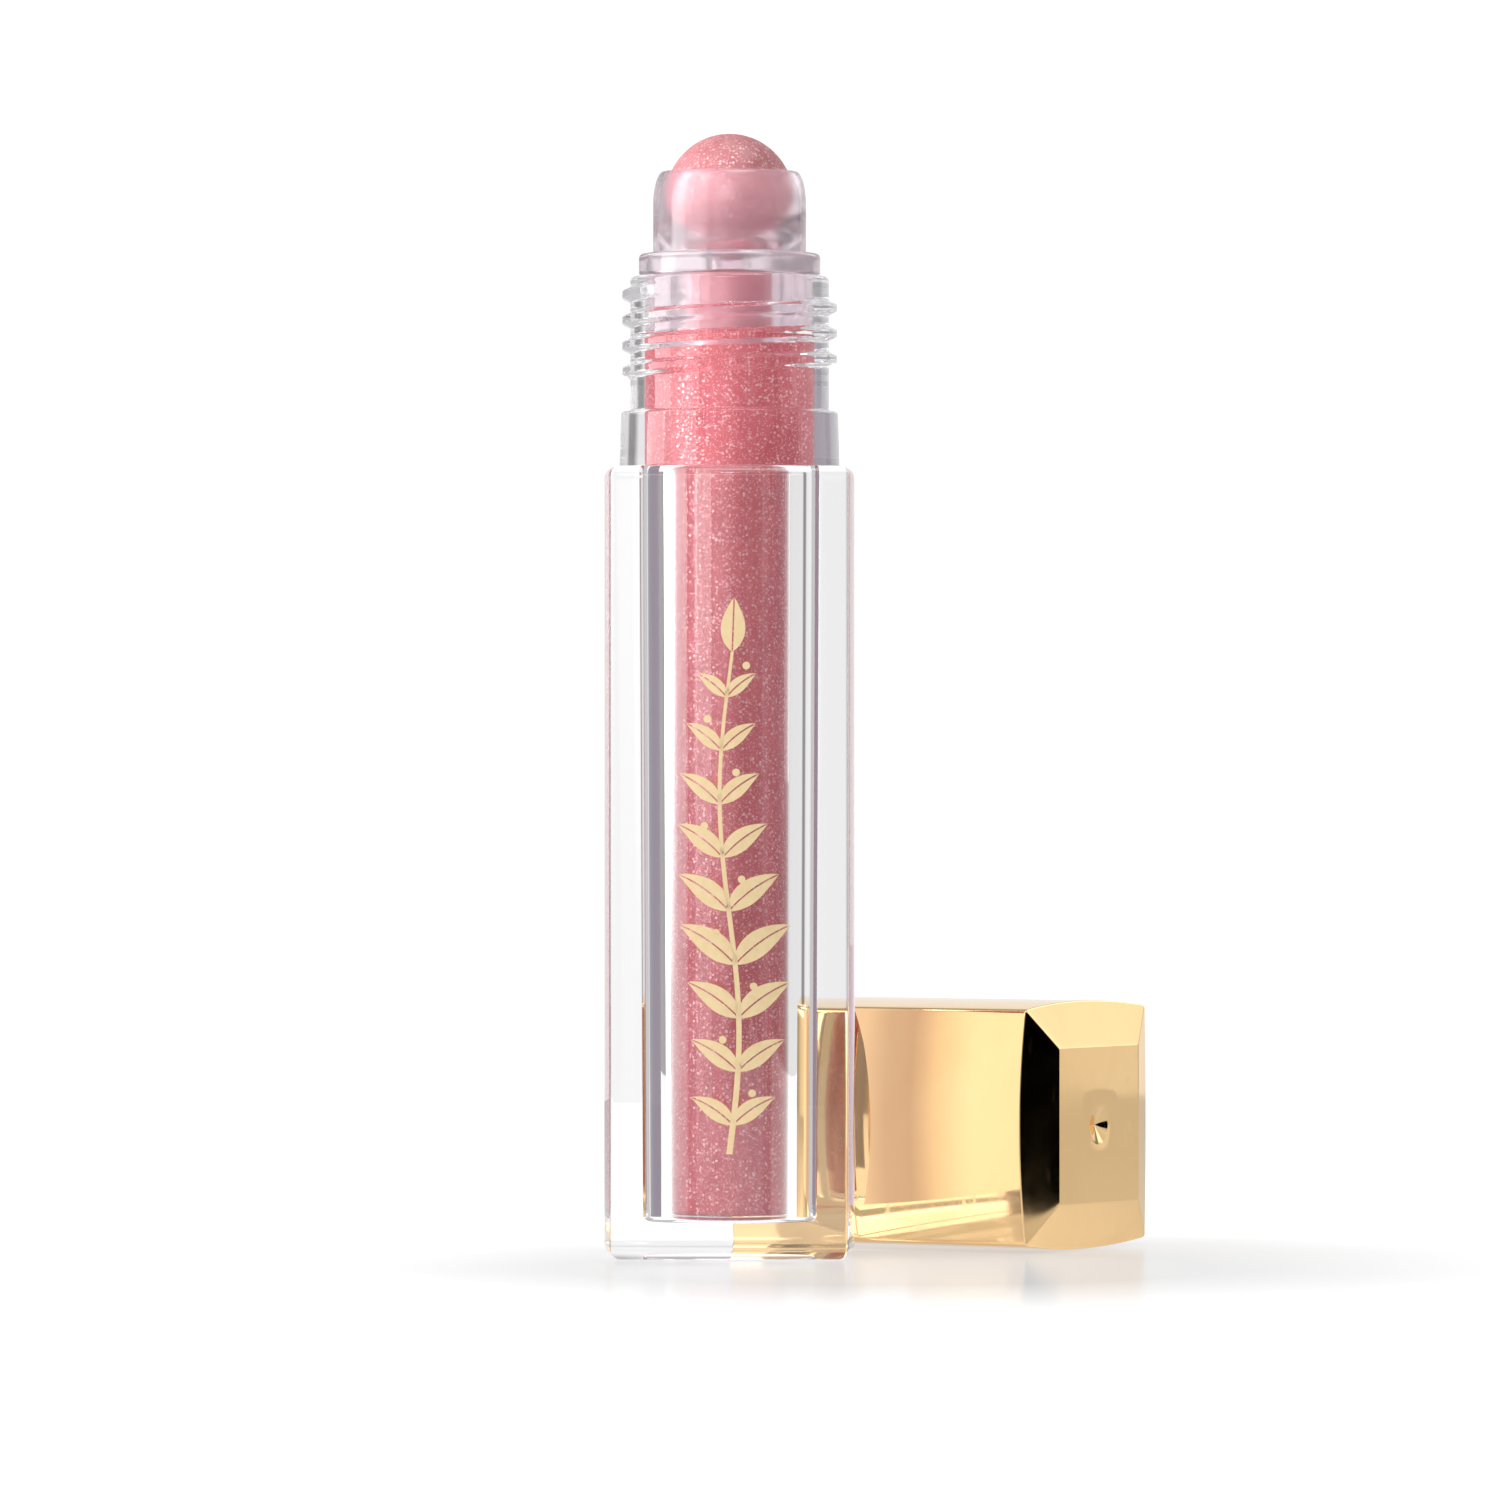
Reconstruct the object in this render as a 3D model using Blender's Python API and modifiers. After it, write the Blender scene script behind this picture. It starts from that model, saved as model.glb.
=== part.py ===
"""Lip gloss tube: a clear square sleeve round a clear threaded vial, a roller applicator and a square cap.

Metres, +Z up. The origin is the centre of the sleeve's base. The cap lies on its side behind and to the right.
"""
import bpy
import bmesh
import math
from mathutils import Matrix, Vector

MM = 0.001

# ---- section shared by the sleeve and the cap: a square with bowed sides ----
SIDE_BOW = 0.55 * MM         # how far the middle of a side stands out past its corners
CORNER_R = 0.45 * MM         # radius along the four upright corners
SIDE_STEPS = 12              # facets along one side
CORNER_STEPS = 4             # facets round one corner

# ---- clear outer sleeve ----
SLEEVE_H = 61.4 * MM
SLEEVE_TOP_ROUND = 0.8 * MM
SLEEVE_BASE_ROUND = 1.0 * MM
SLEEVE_FLOOR = 2.75 * MM     # solid base under the bore
BORE_DRAFT = 0.26 * MM       # the bore's radius is this much smaller at its floor

# ---- clear inner vial ----
VIAL_AIR = 0.10 * MM         # air between the vial and the sleeve's bore
VIAL_FLOOR = 0.45 * MM
VIAL_BORE_R = 4.375 * MM
VIAL_WALL = 2.31 * MM        # at the top of the part inside the sleeve
COLLAR_H = 4.4 * MM
COLLAR_STEP = 0.83 * MM      # from the neck out to the collar
COLLAR_DRAFT = 0.12 * MM     # the collar's top is this much smaller in radius
COLLAR_SEAT = 0.03 * MM      # film of glue between the collar and the sleeve's top
NECK_STEP = 0.68 * MM        # from the housing's flange out to the neck
NECK_H = 10.55 * MM
NECK_ROUND = 0.35 * MM

# ---- neck thread, right-handed, and the cap's thread that meets it ----
PITCH = 2.0 * MM
THREAD_DEPTH = 0.63 * MM
THREAD_BASE = 1.25 * MM
THREAD_CREST = 0.55 * MM
THREAD_TURNS = 3.19
THREAD_TOP_GAP = 1.23 * MM   # from the last ridge's middle up to the neck's rim
THREAD_END_DEG = 220.0       # where the thread starts, anticlockwise from +X
RUN_OUT_DEG = 22.0
CAP_THREAD_TURNS = 2.0
CAP_THREAD_PLAY = 0.13 * MM  # radial play between a ridge and the wall it faces
CAP_THREAD_CREST = 0.5 * MM
CAP_THREAD_BASE = 1.2 * MM

# ---- gloss ----
GLOSS_GAP = 0.03 * MM

# ---- roller housing, pressed into the neck ----
PLUG_GAP = 0.05 * MM
PLUG_LEN = 4.55 * MM
PLUG_WALL = 0.92 * MM
FLANGE_STEP = 1.11 * MM      # from the housing's wall out to its flange
FLANGE_H = 1.75 * MM
FLANGE_ROUND = 0.35 * MM
FLANGE_SEAT = 0.03 * MM      # between the flange and the neck's rim
HOUSING_WALL = 0.95 * MM     # at the ball's widest
HOUSING_RIM_W = 0.58 * MM
HOUSING_SHOULDER_H = 2.74 * MM
FEED_HOLE_R = 1.25 * MM
WEB = 1.2 * MM               # floor under the ball, at the feed hole

# ---- roller ball ----
BALL_R = 5.0 * MM
BALL_PLAY = 0.05 * MM
BALL_PROUD = 2.96 * MM       # how far the ball stands above the housing's rim

# ---- cap ----
CAP_WALL = 0.75 * MM
CAP_END_WALL = 1.1 * MM
CAP_BEVEL_IN = 3.67 * MM     # how far the closed end's bevels reach in from the middle of a side
CAP_FACE_DROP = 1.5 * MM     # how far its bevels drop at the middle of a side
CAP_EDGE = 0.10 * MM
DIMPLE_R = 1.575 * MM
DIMPLE_DEPTH = 0.5 * MM
LINER_GAP = 0.10 * MM
LINER_SIDE = 0.40 * MM       # thinnest wall of the liner, at the middle of a side
LINER_END = 0.35 * MM
LINER_SHELF = 1.3 * MM       # step that holds the pad
LINER_FIT = 0.13 * MM        # running room between the liner and the thread's crest
LINER_MOUTH = 0.30 * MM      # from the collar's top to the liner's lower edge
LINER_OVER = 0.28 * MM       # room over the neck's rim and round the housing
SEAL_H = 0.65 * MM           # soft pad over the top of the ball
SEAL_SINK = 1.5 * MM         # how far the pad's skirt reaches down round the ball
SEAL_PLAY = 0.10 * MM
SEAL_GAP = 0.03 * MM         # round the pad, in its pocket

# ---- where the cap lies ----
CAP_TURN_DEG = 32.5          # its closed end points this far from +X towards -Y
CAP_CLEAR = 0.50 * MM        # between the cap and the sleeve's nearest corner
CAP_AHEAD = 17.2 * MM        # that corner's distance from the closed end, along the cap

ROUND = 48                   # facets round a turned piece
CUP_STEPS = 10
BALL_RINGS = 18
BALL_ROUND = 36

# ---- what follows from those, from the ball outwards and from the base up ----
CUP_R = BALL_R + BALL_PLAY
HOUSING_R = CUP_R + HOUSING_WALL
FLANGE_R = HOUSING_R + FLANGE_STEP
NECK_R = FLANGE_R + NECK_STEP
COLLAR_R = NECK_R + COLLAR_STEP
CREST_R = NECK_R + THREAD_DEPTH
LINER_R = CREST_R + LINER_FIT
HALF = LINER_R + LINER_SIDE + LINER_GAP + CAP_WALL   # from the axis to the middle of a side
BORE_TOP_R = VIAL_BORE_R + VIAL_WALL + VIAL_AIR
BORE_BASE_R = BORE_TOP_R - BORE_DRAFT
PLUG_R = VIAL_BORE_R - PLUG_GAP
PLUG_IN_R = PLUG_R - PLUG_WALL
COLLAR_Z = SLEEVE_H + COLLAR_SEAT
NECK_Z = COLLAR_Z + COLLAR_H
RIM_Z = NECK_Z + NECK_H
THREAD_TOP = RIM_Z - THREAD_TOP_GAP
VIAL_Z = SLEEVE_FLOOR + VIAL_AIR
GLOSS_Z = VIAL_Z + VIAL_FLOOR + GLOSS_GAP
FLANGE_Z = RIM_Z + FLANGE_SEAT
PLUG_Z = FLANGE_Z - PLUG_LEN
FEED_Z = FLANGE_Z + FLANGE_SEAT
BALL_Z = FEED_Z + WEB + math.sqrt(CUP_R ** 2 - FEED_HOLE_R ** 2)
BALL_TOP = BALL_Z + BALL_R
HOUSING_TOP = BALL_TOP - BALL_PROUD
# Heights inside the cap are from its open rim, which seats on the sleeve's top.
LINER_Z = NECK_Z - SLEEVE_H + LINER_MOUTH
LINER_STEP_Z = RIM_Z - SLEEVE_H + LINER_OVER
LINER_FLANGE_R = FLANGE_R + LINER_OVER
LINER_NECK_Z = FLANGE_Z + FLANGE_H - SLEEVE_H + 2 * LINER_OVER
LINER_TOP_R = HOUSING_R + LINER_OVER
LINER_SHELF_Z = HOUSING_TOP - SLEEVE_H + 2 * LINER_OVER
POCKET_R = LINER_TOP_R - LINER_SHELF
SEAL_Z = BALL_TOP - SLEEVE_H + SEAL_PLAY
SEAL_TOP = SEAL_Z + SEAL_H
LINER_CEILING = SEAL_TOP + SEAL_GAP
CAP_LEN = LINER_CEILING + LINER_END + LINER_GAP + CAP_END_WALL


def clear_scene():
    for obj in list(bpy.data.objects):
        bpy.data.objects.remove(obj, do_unlink=True)


def collection(name):
    made = bpy.data.collections.new(name)
    bpy.context.scene.collection.children.link(made)
    return made


def principled(name, colour, rough, metal=0.0, clear=0.0):
    mat = bpy.data.materials.new(name)
    mat.use_nodes = True
    shader = mat.node_tree.nodes["Principled BSDF"]
    shader.inputs["Base Color"].default_value = (*colour, 1.0)
    shader.inputs["Roughness"].default_value = rough
    shader.inputs["Metallic"].default_value = metal
    shader.inputs["Transmission Weight"].default_value = clear
    mat.diffuse_color = (*colour, 1.0)
    return mat


def mesh_object(name, points, faces, home, mat=None):
    mesh = bpy.data.meshes.new(name)
    mesh.from_pydata([tuple(p) for p in points], [], faces)
    bm = bmesh.new()
    bm.from_mesh(mesh)
    bmesh.ops.recalc_face_normals(bm, faces=bm.faces)
    bm.to_mesh(mesh)
    bm.free()
    obj = bpy.data.objects.new(name, mesh)
    home.objects.link(obj)
    if mat:
        mesh.materials.append(mat)
    return obj


def helper(obj):
    obj.hide_render = True
    obj.display_type = 'WIRE'
    return obj


def section(inset=0.0, corner=CORNER_R):
    """The bowed square, pulled in by inset, as points from one diagonal round to the same diagonal."""
    chord = HALF - SIDE_BOW
    big = (chord ** 2 + SIDE_BOW ** 2) / (2 * SIDE_BOW)
    back = big - HALF                      # how far behind the middle the side's arc is centred
    big -= inset
    small = max(corner - inset, 0.06 * MM)
    reach = big - small
    at = (-back + math.sqrt(2 * reach ** 2 - back ** 2)) / 2
    turn = math.atan2(at, at + back)       # half angle of a side's arc
    quarter = []
    for i in range(CORNER_STEPS // 2, CORNER_STEPS + 1):
        a = -(math.pi / 2 - turn) + (math.pi / 2 - 2 * turn) * i / CORNER_STEPS
        quarter.append(Vector((at + small * math.cos(a), -at + small * math.sin(a))))
    for i in range(1, SIDE_STEPS):
        a = -turn + 2 * turn * i / SIDE_STEPS
        quarter.append(Vector((-back + big * math.cos(a), big * math.sin(a))))
    for i in range(0, CORNER_STEPS // 2):
        a = turn + (math.pi / 2 - 2 * turn) * i / CORNER_STEPS
        quarter.append(Vector((at + small * math.cos(a), at + small * math.sin(a))))
    ring = []
    for side in range(4):
        spin = Matrix.Rotation(side * math.pi / 2, 2)
        ring += [spin @ p for p in quarter]
    return ring


def stacked(name, rings, home, mat=None):
    """A solid through closed rings of equal point count, with a flat face at each end."""
    n = len(rings[0])
    points = [p for ring in rings for p in ring]
    faces = [tuple(range(n - 1, -1, -1)), tuple(range((len(rings) - 1) * n, len(rings) * n))]
    for k in range(len(rings) - 1):
        for i in range(n):
            j = (i + 1) % n
            faces.append((k * n + i, k * n + j, (k + 1) * n + j, (k + 1) * n + i))
    return mesh_object(name, points, faces, home, mat)


def turned(name, profile, home, mat=None, steps=ROUND):
    """A profile of (radius, height), listed up its outer side, turned about Z. A radius of 0 is one point."""
    points, rows, faces = [], [], []
    for r, z in profile:
        count = 1 if r < 1e-9 else steps
        rows.append(range(len(points), len(points) + count))
        for i in range(count):
            a = 2 * math.pi * i / steps
            points.append((r * math.cos(a), r * math.sin(a), z))
    pairs = list(zip(rows, rows[1:]))
    if profile[0][0] > 1e-9:
        pairs.append((rows[-1], rows[0]))
    for low, high in pairs:
        for i in range(steps):
            j = (i + 1) % steps
            if len(low) == 1:
                faces.append((low[0], high[i], high[j]))
            elif len(high) == 1:
                faces.append((low[i], low[j], high[0]))
            else:
                faces.append((low[i], low[j], high[j], high[i]))
    return mesh_object(name, points, faces, home, mat)


def arc(cx, cz, r, a0, a1, n):
    """Points on a circle arc in the profile plane, angles in degrees from +radius towards +Z."""
    return [(cx + r * math.cos(math.radians(a0 + (a1 - a0) * i / n)),
             cz + r * math.sin(math.radians(a0 + (a1 - a0) * i / n))) for i in range(n + 1)]


def ridge(name, root_r, crest_r, z_end, end_deg, turns, base, crest, home):
    """A helical ridge that rises anticlockwise and fades into its wall at both ends."""
    steps = round(turns * ROUND)
    sunk = 0.15 * MM if crest_r > root_r else -0.15 * MM
    points, faces = [], []
    for i in range(steps + 1):
        deg = end_deg - 360.0 * (steps - i) / ROUND
        fade = min(1.0, (i + 0.2) * 360.0 / ROUND / RUN_OUT_DEG, (steps - i + 0.2) * 360.0 / ROUND / RUN_OUT_DEG)
        z = z_end - PITCH * (steps - i) / ROUND
        tip = (root_r - sunk) + (crest_r - root_r + sunk) * fade
        c, s = math.cos(math.radians(deg)), math.sin(math.radians(deg))
        wide = base + (base - crest) * abs(sunk) / abs(crest_r - root_r)
        for r, h in ((root_r - sunk, -wide / 2), (tip, -crest / 2), (tip, crest / 2), (root_r - sunk, wide / 2)):
            points.append((r * c, r * s, z + h))
    for i in range(steps):
        for k in range(4):
            a, b = i * 4 + k, i * 4 + (k + 1) % 4
            faces.append((a, b, b + 4, a + 4))
    faces += [(3, 2, 1, 0), tuple(steps * 4 + k for k in range(4))]
    return helper(mesh_object(name, points, faces, home))


def boolean(obj, other, kind):
    mod = obj.modifiers.new(kind.title(), 'BOOLEAN')
    mod.operation = kind
    mod.solver = 'EXACT'
    mod.object = other
    return mod


def shade(obj, smooth_deg=32.0):
    """Smooth across small facets, sharp at real edges."""
    for poly in obj.data.polygons:
        poly.use_smooth = True
    if len(obj.data.polygons):
        obj.data.set_sharp_from_angle(angle=math.radians(smooth_deg))


def cap_block(name, inset, z0, end, home, mat=None):
    """The bowed square from z0 up to a closed end with four flat bevels, pulled in by inset."""
    ring = section(inset)
    slope = CAP_FACE_DROP / CAP_BEVEL_IN
    half = HALF - CAP_BEVEL_IN - inset * (1.0 - math.tan(math.atan(slope) / 2))
    n = len(ring)
    top = [end - (max(abs(p.x), abs(p.y)) - half) * slope for p in ring]
    points = [(p.x, p.y, z0) for p in ring] + [(p.x, p.y, z) for p, z in zip(ring, top)]
    points += [(half, -half, end), (half, half, end), (-half, half, end), (-half, -half, end)]
    faces = [tuple(range(n - 1, -1, -1)), (2 * n, 2 * n + 1, 2 * n + 2, 2 * n + 3)]
    for i in range(n):
        j = (i + 1) % n
        faces.append((i, j, n + j, n + i))
    for side in range(4):
        edge = [n + (side * n // 4 + k) % n for k in range(n // 4 + 1)]
        faces.append(tuple(edge) + (2 * n + (side + 1) % 4, 2 * n + side))
    return mesh_object(name, points, faces, home, mat)


def build():
    clear_scene()
    parts = collection("lip_gloss_tube")
    tools = collection("cutters")
    tools.hide_render = True

    clear_acrylic = principled("clear_acrylic", (0.96, 0.96, 0.97), 0.03, clear=1.0)
    clear_vial = principled("clear_vial", (0.98, 0.94, 0.95), 0.04, clear=1.0)
    rose_gloss = principled("rose_gloss", (0.72, 0.22, 0.28), 0.25)
    milky = principled("milky_housing", (0.86, 0.70, 0.75), 0.25)
    ball_pink = principled("ball_pink", (0.80, 0.42, 0.50), 0.2)
    gold = principled("gold", (0.86, 0.62, 0.34), 0.08, metal=1.0)
    natural = principled("natural_liner", (0.88, 0.87, 0.85), 0.4)
    soft_pad = principled("soft_pad", (0.92, 0.91, 0.90), 0.6)

    # ---- outer sleeve ----
    rings = []
    for k in range(4):
        a = math.radians(30.0 * k)
        rings.append((SLEEVE_BASE_ROUND * (1 - math.sin(a)), SLEEVE_BASE_ROUND * (1 - math.cos(a))))
    for k in range(4):
        a = math.radians(90.0 - 30.0 * k)
        rings.append((SLEEVE_TOP_ROUND * (1 - math.sin(a)), SLEEVE_H - SLEEVE_TOP_ROUND * (1 - math.cos(a))))
    sleeve = stacked("outer_sleeve", [[(p.x, p.y, z) for p in section(i)] for i, z in rings],
                     parts, clear_acrylic)
    r0 = 0.4 * MM
    draft = (BORE_TOP_R - BORE_BASE_R) / (SLEEVE_H - SLEEVE_FLOOR)
    bore = [(0.0, SLEEVE_FLOOR)] + arc(BORE_BASE_R - r0, SLEEVE_FLOOR + r0, r0, -90, 0, 4)
    bore += [(BORE_TOP_R + draft * MM, SLEEVE_H + MM), (0.0, SLEEVE_H + MM)]
    boolean(sleeve, helper(turned("sleeve_bore", bore, tools)), 'DIFFERENCE')

    # ---- inner vial ----
    body_base = BORE_BASE_R - VIAL_AIR
    body_top = BORE_TOP_R - VIAL_AIR
    edge = 0.25 * MM
    vial = [(0.0, VIAL_Z)] + arc(body_base - r0, VIAL_Z + r0, r0, -90, 0, 4)
    vial += [(body_top, COLLAR_Z - 0.02 * MM), (body_top, COLLAR_Z), (COLLAR_R - 0.1 * MM, COLLAR_Z),
             (COLLAR_R, COLLAR_Z + 0.1 * MM)]
    vial += arc(COLLAR_R - COLLAR_DRAFT - edge, NECK_Z - edge, edge, 0, 90, 3)
    vial += [(NECK_R, NECK_Z)]
    vial += arc(NECK_R - NECK_ROUND, RIM_Z - NECK_ROUND, NECK_ROUND, 0, 90, 4)
    vial += [(VIAL_BORE_R, RIM_Z)]
    vial += arc(VIAL_BORE_R - r0, VIAL_Z + VIAL_FLOOR + r0, r0, 0, -90, 4) + [(0.0, VIAL_Z + VIAL_FLOOR)]
    inner = turned("inner_vial", vial, parts, clear_vial)
    thread = ridge("neck_thread", NECK_R, CREST_R, THREAD_TOP, THREAD_END_DEG, THREAD_TURNS,
                   THREAD_BASE, THREAD_CREST, tools)
    boolean(inner, thread, 'UNION')

    # ---- gloss, filling the vial up to the plug and inside its skirt ----
    g = VIAL_BORE_R - GLOSS_GAP
    fill = [(0.0, GLOSS_Z)] + arc(g - r0, GLOSS_Z + r0, r0, -90, 0, 4)
    fill += [(g, PLUG_Z - GLOSS_GAP), (PLUG_IN_R - GLOSS_GAP, PLUG_Z - GLOSS_GAP),
             (PLUG_IN_R - GLOSS_GAP, FEED_Z - GLOSS_GAP), (0.0, FEED_Z - GLOSS_GAP)]
    gloss = turned("gloss_fill", fill, parts, rose_gloss)

    # ---- roller housing ----
    rise = HOUSING_TOP - BALL_Z
    mouth_r = math.sqrt(CUP_R ** 2 - rise ** 2)
    lip_r = mouth_r + HOUSING_RIM_W
    low = HOUSING_TOP - HOUSING_SHOULDER_H
    house = [(PLUG_R - 0.2 * MM, PLUG_Z), (PLUG_R, PLUG_Z + 0.3 * MM), (PLUG_R, FLANGE_Z)]
    house += arc(FLANGE_R - FLANGE_ROUND, FLANGE_Z + FLANGE_ROUND, FLANGE_ROUND, -90, 0, 3)
    house += arc(FLANGE_R - FLANGE_ROUND, FLANGE_Z + FLANGE_H - FLANGE_ROUND, FLANGE_ROUND, 0, 90, 3)
    house += [(HOUSING_R, FLANGE_Z + FLANGE_H), (HOUSING_R, low)]
    bend = HOUSING_R - lip_r
    for k in range(1, 6):
        a = math.radians(15.0 * k)
        house.append((lip_r + bend * math.cos(a) - 0.04 * MM * (k == 5), low + (HOUSING_TOP - low) * math.sin(a)))
    house += [(lip_r - 0.1 * MM, HOUSING_TOP), (mouth_r, HOUSING_TOP)]
    top_a = math.asin(rise / CUP_R)
    low_a = -math.acos(FEED_HOLE_R / CUP_R)
    for k in range(1, CUP_STEPS + 1):
        a = top_a + (low_a - top_a) * k / CUP_STEPS
        house.append((CUP_R * math.cos(a), BALL_Z + CUP_R * math.sin(a)))
    house += [(FEED_HOLE_R, FEED_Z), (PLUG_IN_R, FEED_Z), (PLUG_IN_R, PLUG_Z)]
    housing = turned("roller_housing", house, parts, milky)

    # ---- roller ball, about its own centre ----
    pivot = bpy.data.objects.new("ball_axis", None)
    pivot.location = (0, 0, BALL_Z)
    parts.objects.link(pivot)
    ball = turned("roller_ball", [(0.0, -BALL_R)]
                  + arc(0, 0, BALL_R, -90, 90, BALL_RINGS)[1:-1] + [(0.0, BALL_R)], parts, ball_pink, BALL_ROUND)
    ball.parent = pivot

    # ---- cap: shell, liner and pad, modelled upright on Z from the open end ----
    seat = bpy.data.objects.new("cap_axis", None)
    parts.objects.link(seat)
    shell = cap_block("cap_shell", 0.0, 0.0, CAP_LEN, parts, gold)
    soften = shell.modifiers.new("Edge", 'BEVEL')
    soften.width = CAP_EDGE
    soften.segments = 1
    soften.limit_method = 'ANGLE'
    soften.angle_limit = math.radians(21.5)
    hollow = helper(cap_block("cap_hollow", CAP_WALL, -MM, CAP_LEN - CAP_END_WALL, tools))
    cone = [(0.0, CAP_LEN - DIMPLE_DEPTH), (DIMPLE_R, CAP_LEN), (DIMPLE_R + 0.1 * MM, CAP_LEN + 0.03 * MM),
            (DIMPLE_R + 0.1 * MM, CAP_LEN + MM), (0.0, CAP_LEN + MM)]
    dimple = helper(turned("cap_dimple", cone, tools))
    boolean(shell, hollow, 'DIFFERENCE')
    boolean(shell, dimple, 'DIFFERENCE')

    liner = cap_block("cap_liner", CAP_WALL + LINER_GAP, LINER_Z, LINER_CEILING + LINER_END, parts, natural)
    drill = [(0.0, LINER_Z - MM), (LINER_R + 0.15 * MM, LINER_Z - MM), (LINER_R + 0.15 * MM, LINER_Z + 0.1 * MM),
             (LINER_R, LINER_Z + 0.3 * MM), (LINER_R, LINER_STEP_Z),
             (LINER_FLANGE_R, LINER_STEP_Z + 0.2 * MM), (LINER_FLANGE_R, LINER_NECK_Z),
             (LINER_TOP_R, LINER_NECK_Z + 0.3 * MM), (LINER_TOP_R, LINER_SHELF_Z),
             (POCKET_R, LINER_SHELF_Z + 0.3 * MM), (POCKET_R, LINER_CEILING), (0.0, LINER_CEILING)]
    boolean(liner, helper(turned("liner_bore", drill, tools)), 'DIFFERENCE')
    top = THREAD_TOP - SLEEVE_H - PITCH / 2 - PITCH
    inner_thread = ridge("liner_thread", LINER_R, NECK_R + CAP_THREAD_PLAY, top, THREAD_END_DEG,
                         CAP_THREAD_TURNS, CAP_THREAD_BASE, CAP_THREAD_CREST, tools)
    boolean(liner, inner_thread, 'UNION')

    bowl = BALL_R + SEAL_PLAY
    mid = BALL_Z - SLEEVE_H
    skirt = SEAL_Z - SEAL_SINK
    hem = math.degrees(math.asin((skirt - mid) / bowl))
    pad_r = POCKET_R - SEAL_GAP
    pad = [(0.0, mid + bowl)] + arc(0, mid, bowl, 90, hem, 8)[1:]
    pad += [(pad_r, skirt), (pad_r, SEAL_TOP), (0.0, SEAL_TOP)]
    seal = turned("cap_seal", pad, parts, soft_pad)

    # ---- lay the cap down beside the sleeve ----
    way = Vector((math.cos(math.radians(CAP_TURN_DEG)), -math.sin(math.radians(CAP_TURN_DEG)), 0.0))
    side = Vector((way.y, -way.x, 0.0))            # from the cap's axis towards the sleeve's corner
    corner = max(section(), key=lambda p: p.x + p.y)
    near = Vector((corner.x, corner.y, 0.0))
    end = near - side * (HALF + CAP_CLEAR) + way * CAP_AHEAD
    end.z = HALF
    turn = Matrix((( side.x, 0.0, way.x), (side.y, 0.0, way.y), (0.0, 1.0, 0.0))).to_4x4()
    if turn.determinant() < 0:
        turn = Matrix(((-side.x, 0.0, way.x), (-side.y, 0.0, way.y), (0.0, 1.0, 0.0))).to_4x4()
    place = Matrix.Translation(end - way * CAP_LEN) @ turn
    seat.matrix_world = place
    for obj in (shell, liner, seal, hollow, dimple, inner_thread, bpy.data.objects["liner_bore"]):
        obj.parent = seat

    for obj in (sleeve, inner, gloss, housing, ball, shell, liner, seal):
        shade(obj)
    bpy.context.view_layer.update()


build()
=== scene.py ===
"""Lip gloss tube: the finished pieces, their materials and a plain studio, laid out as a Blender add-on."""
import math

import bpy
import numpy as np
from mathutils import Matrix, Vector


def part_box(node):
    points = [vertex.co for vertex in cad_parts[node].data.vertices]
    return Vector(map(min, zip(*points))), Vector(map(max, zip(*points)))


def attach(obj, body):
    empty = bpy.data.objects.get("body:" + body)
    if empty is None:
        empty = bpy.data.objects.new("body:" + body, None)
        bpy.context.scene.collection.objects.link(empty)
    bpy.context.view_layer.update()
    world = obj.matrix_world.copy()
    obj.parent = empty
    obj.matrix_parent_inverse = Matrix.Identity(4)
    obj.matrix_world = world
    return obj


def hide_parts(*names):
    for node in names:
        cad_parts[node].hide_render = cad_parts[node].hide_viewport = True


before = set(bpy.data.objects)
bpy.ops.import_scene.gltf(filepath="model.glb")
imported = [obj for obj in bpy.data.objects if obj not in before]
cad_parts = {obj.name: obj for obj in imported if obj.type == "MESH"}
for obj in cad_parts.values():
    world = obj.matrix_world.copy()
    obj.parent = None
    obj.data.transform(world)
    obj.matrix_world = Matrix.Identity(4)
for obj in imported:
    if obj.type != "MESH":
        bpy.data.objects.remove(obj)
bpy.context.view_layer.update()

bl_info = {
    "name": "Lip Gloss Tube",
    "version": (1, 0, 0),
    "blender": (4, 5, 0),
    "location": "3D View > Sidebar > Gloss Tube",
    "description": "Builds a roll-on lip gloss tube with its loose screw cap",
    "category": "Object",
}

MM = 0.001
AROUND = 240          # points round a turned piece
SIDE_STEPS = 30       # facets along one side of the bowed square
CORNER_STEPS = 12     # facets round one of its corners
ROUND_SQUARE = 4 * (SIDE_STEPS + CORNER_STEPS)

SLEEVE_FLOOR = 2.75 * MM      # solid base under the sleeve's bore
VIAL_FLOOR = 0.45 * MM
FILLET = 0.4 * MM             # radius at the foot of the bore, the vial and the gloss
COLLAR_GLUE = 0.03 * MM       # film between the collar and the sleeve's top
COLLAR_H = 4.4 * MM
NECK_R = 7.79 * MM
RIDGE_DEPTH = 0.63 * MM       # how far the thread stands out
FEED_HOLE_R = 1.25 * MM       # hole under the ball
PLUG_BORE_R = 3.405 * MM      # inside of the housing's plug
CAP_TURN = math.radians(32.5)                   # its closed end points this far from +X towards -Y
CAP_END_WALL = 1.1 * MM
BEVEL_IN, BEVEL_DROP = 3.67 * MM, 1.5 * MM      # the closed end's bevels: how far in, and how far down
BEVEL_SLOPE = BEVEL_DROP / BEVEL_IN
BEVEL_SHRINK = 0.804          # how fast a bevel's inner edge moves in with the depth under the surface

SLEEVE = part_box("outer_sleeve")
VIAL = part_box("inner_vial")
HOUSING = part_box("roller_housing")
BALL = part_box("roller_ball")
HALF = (SLEEVE[1][0] - SLEEVE[0][0]) / 2
SLEEVE_TOP = SLEEVE[1][2]
RIM_Z = VIAL[1][2]
BALL_R = (BALL[1][2] - BALL[0][2]) / 2
BALL_Z = (BALL[1][2] + BALL[0][2]) / 2


# ------------------------------------------------------------------ sizes and colours a user would change

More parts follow.
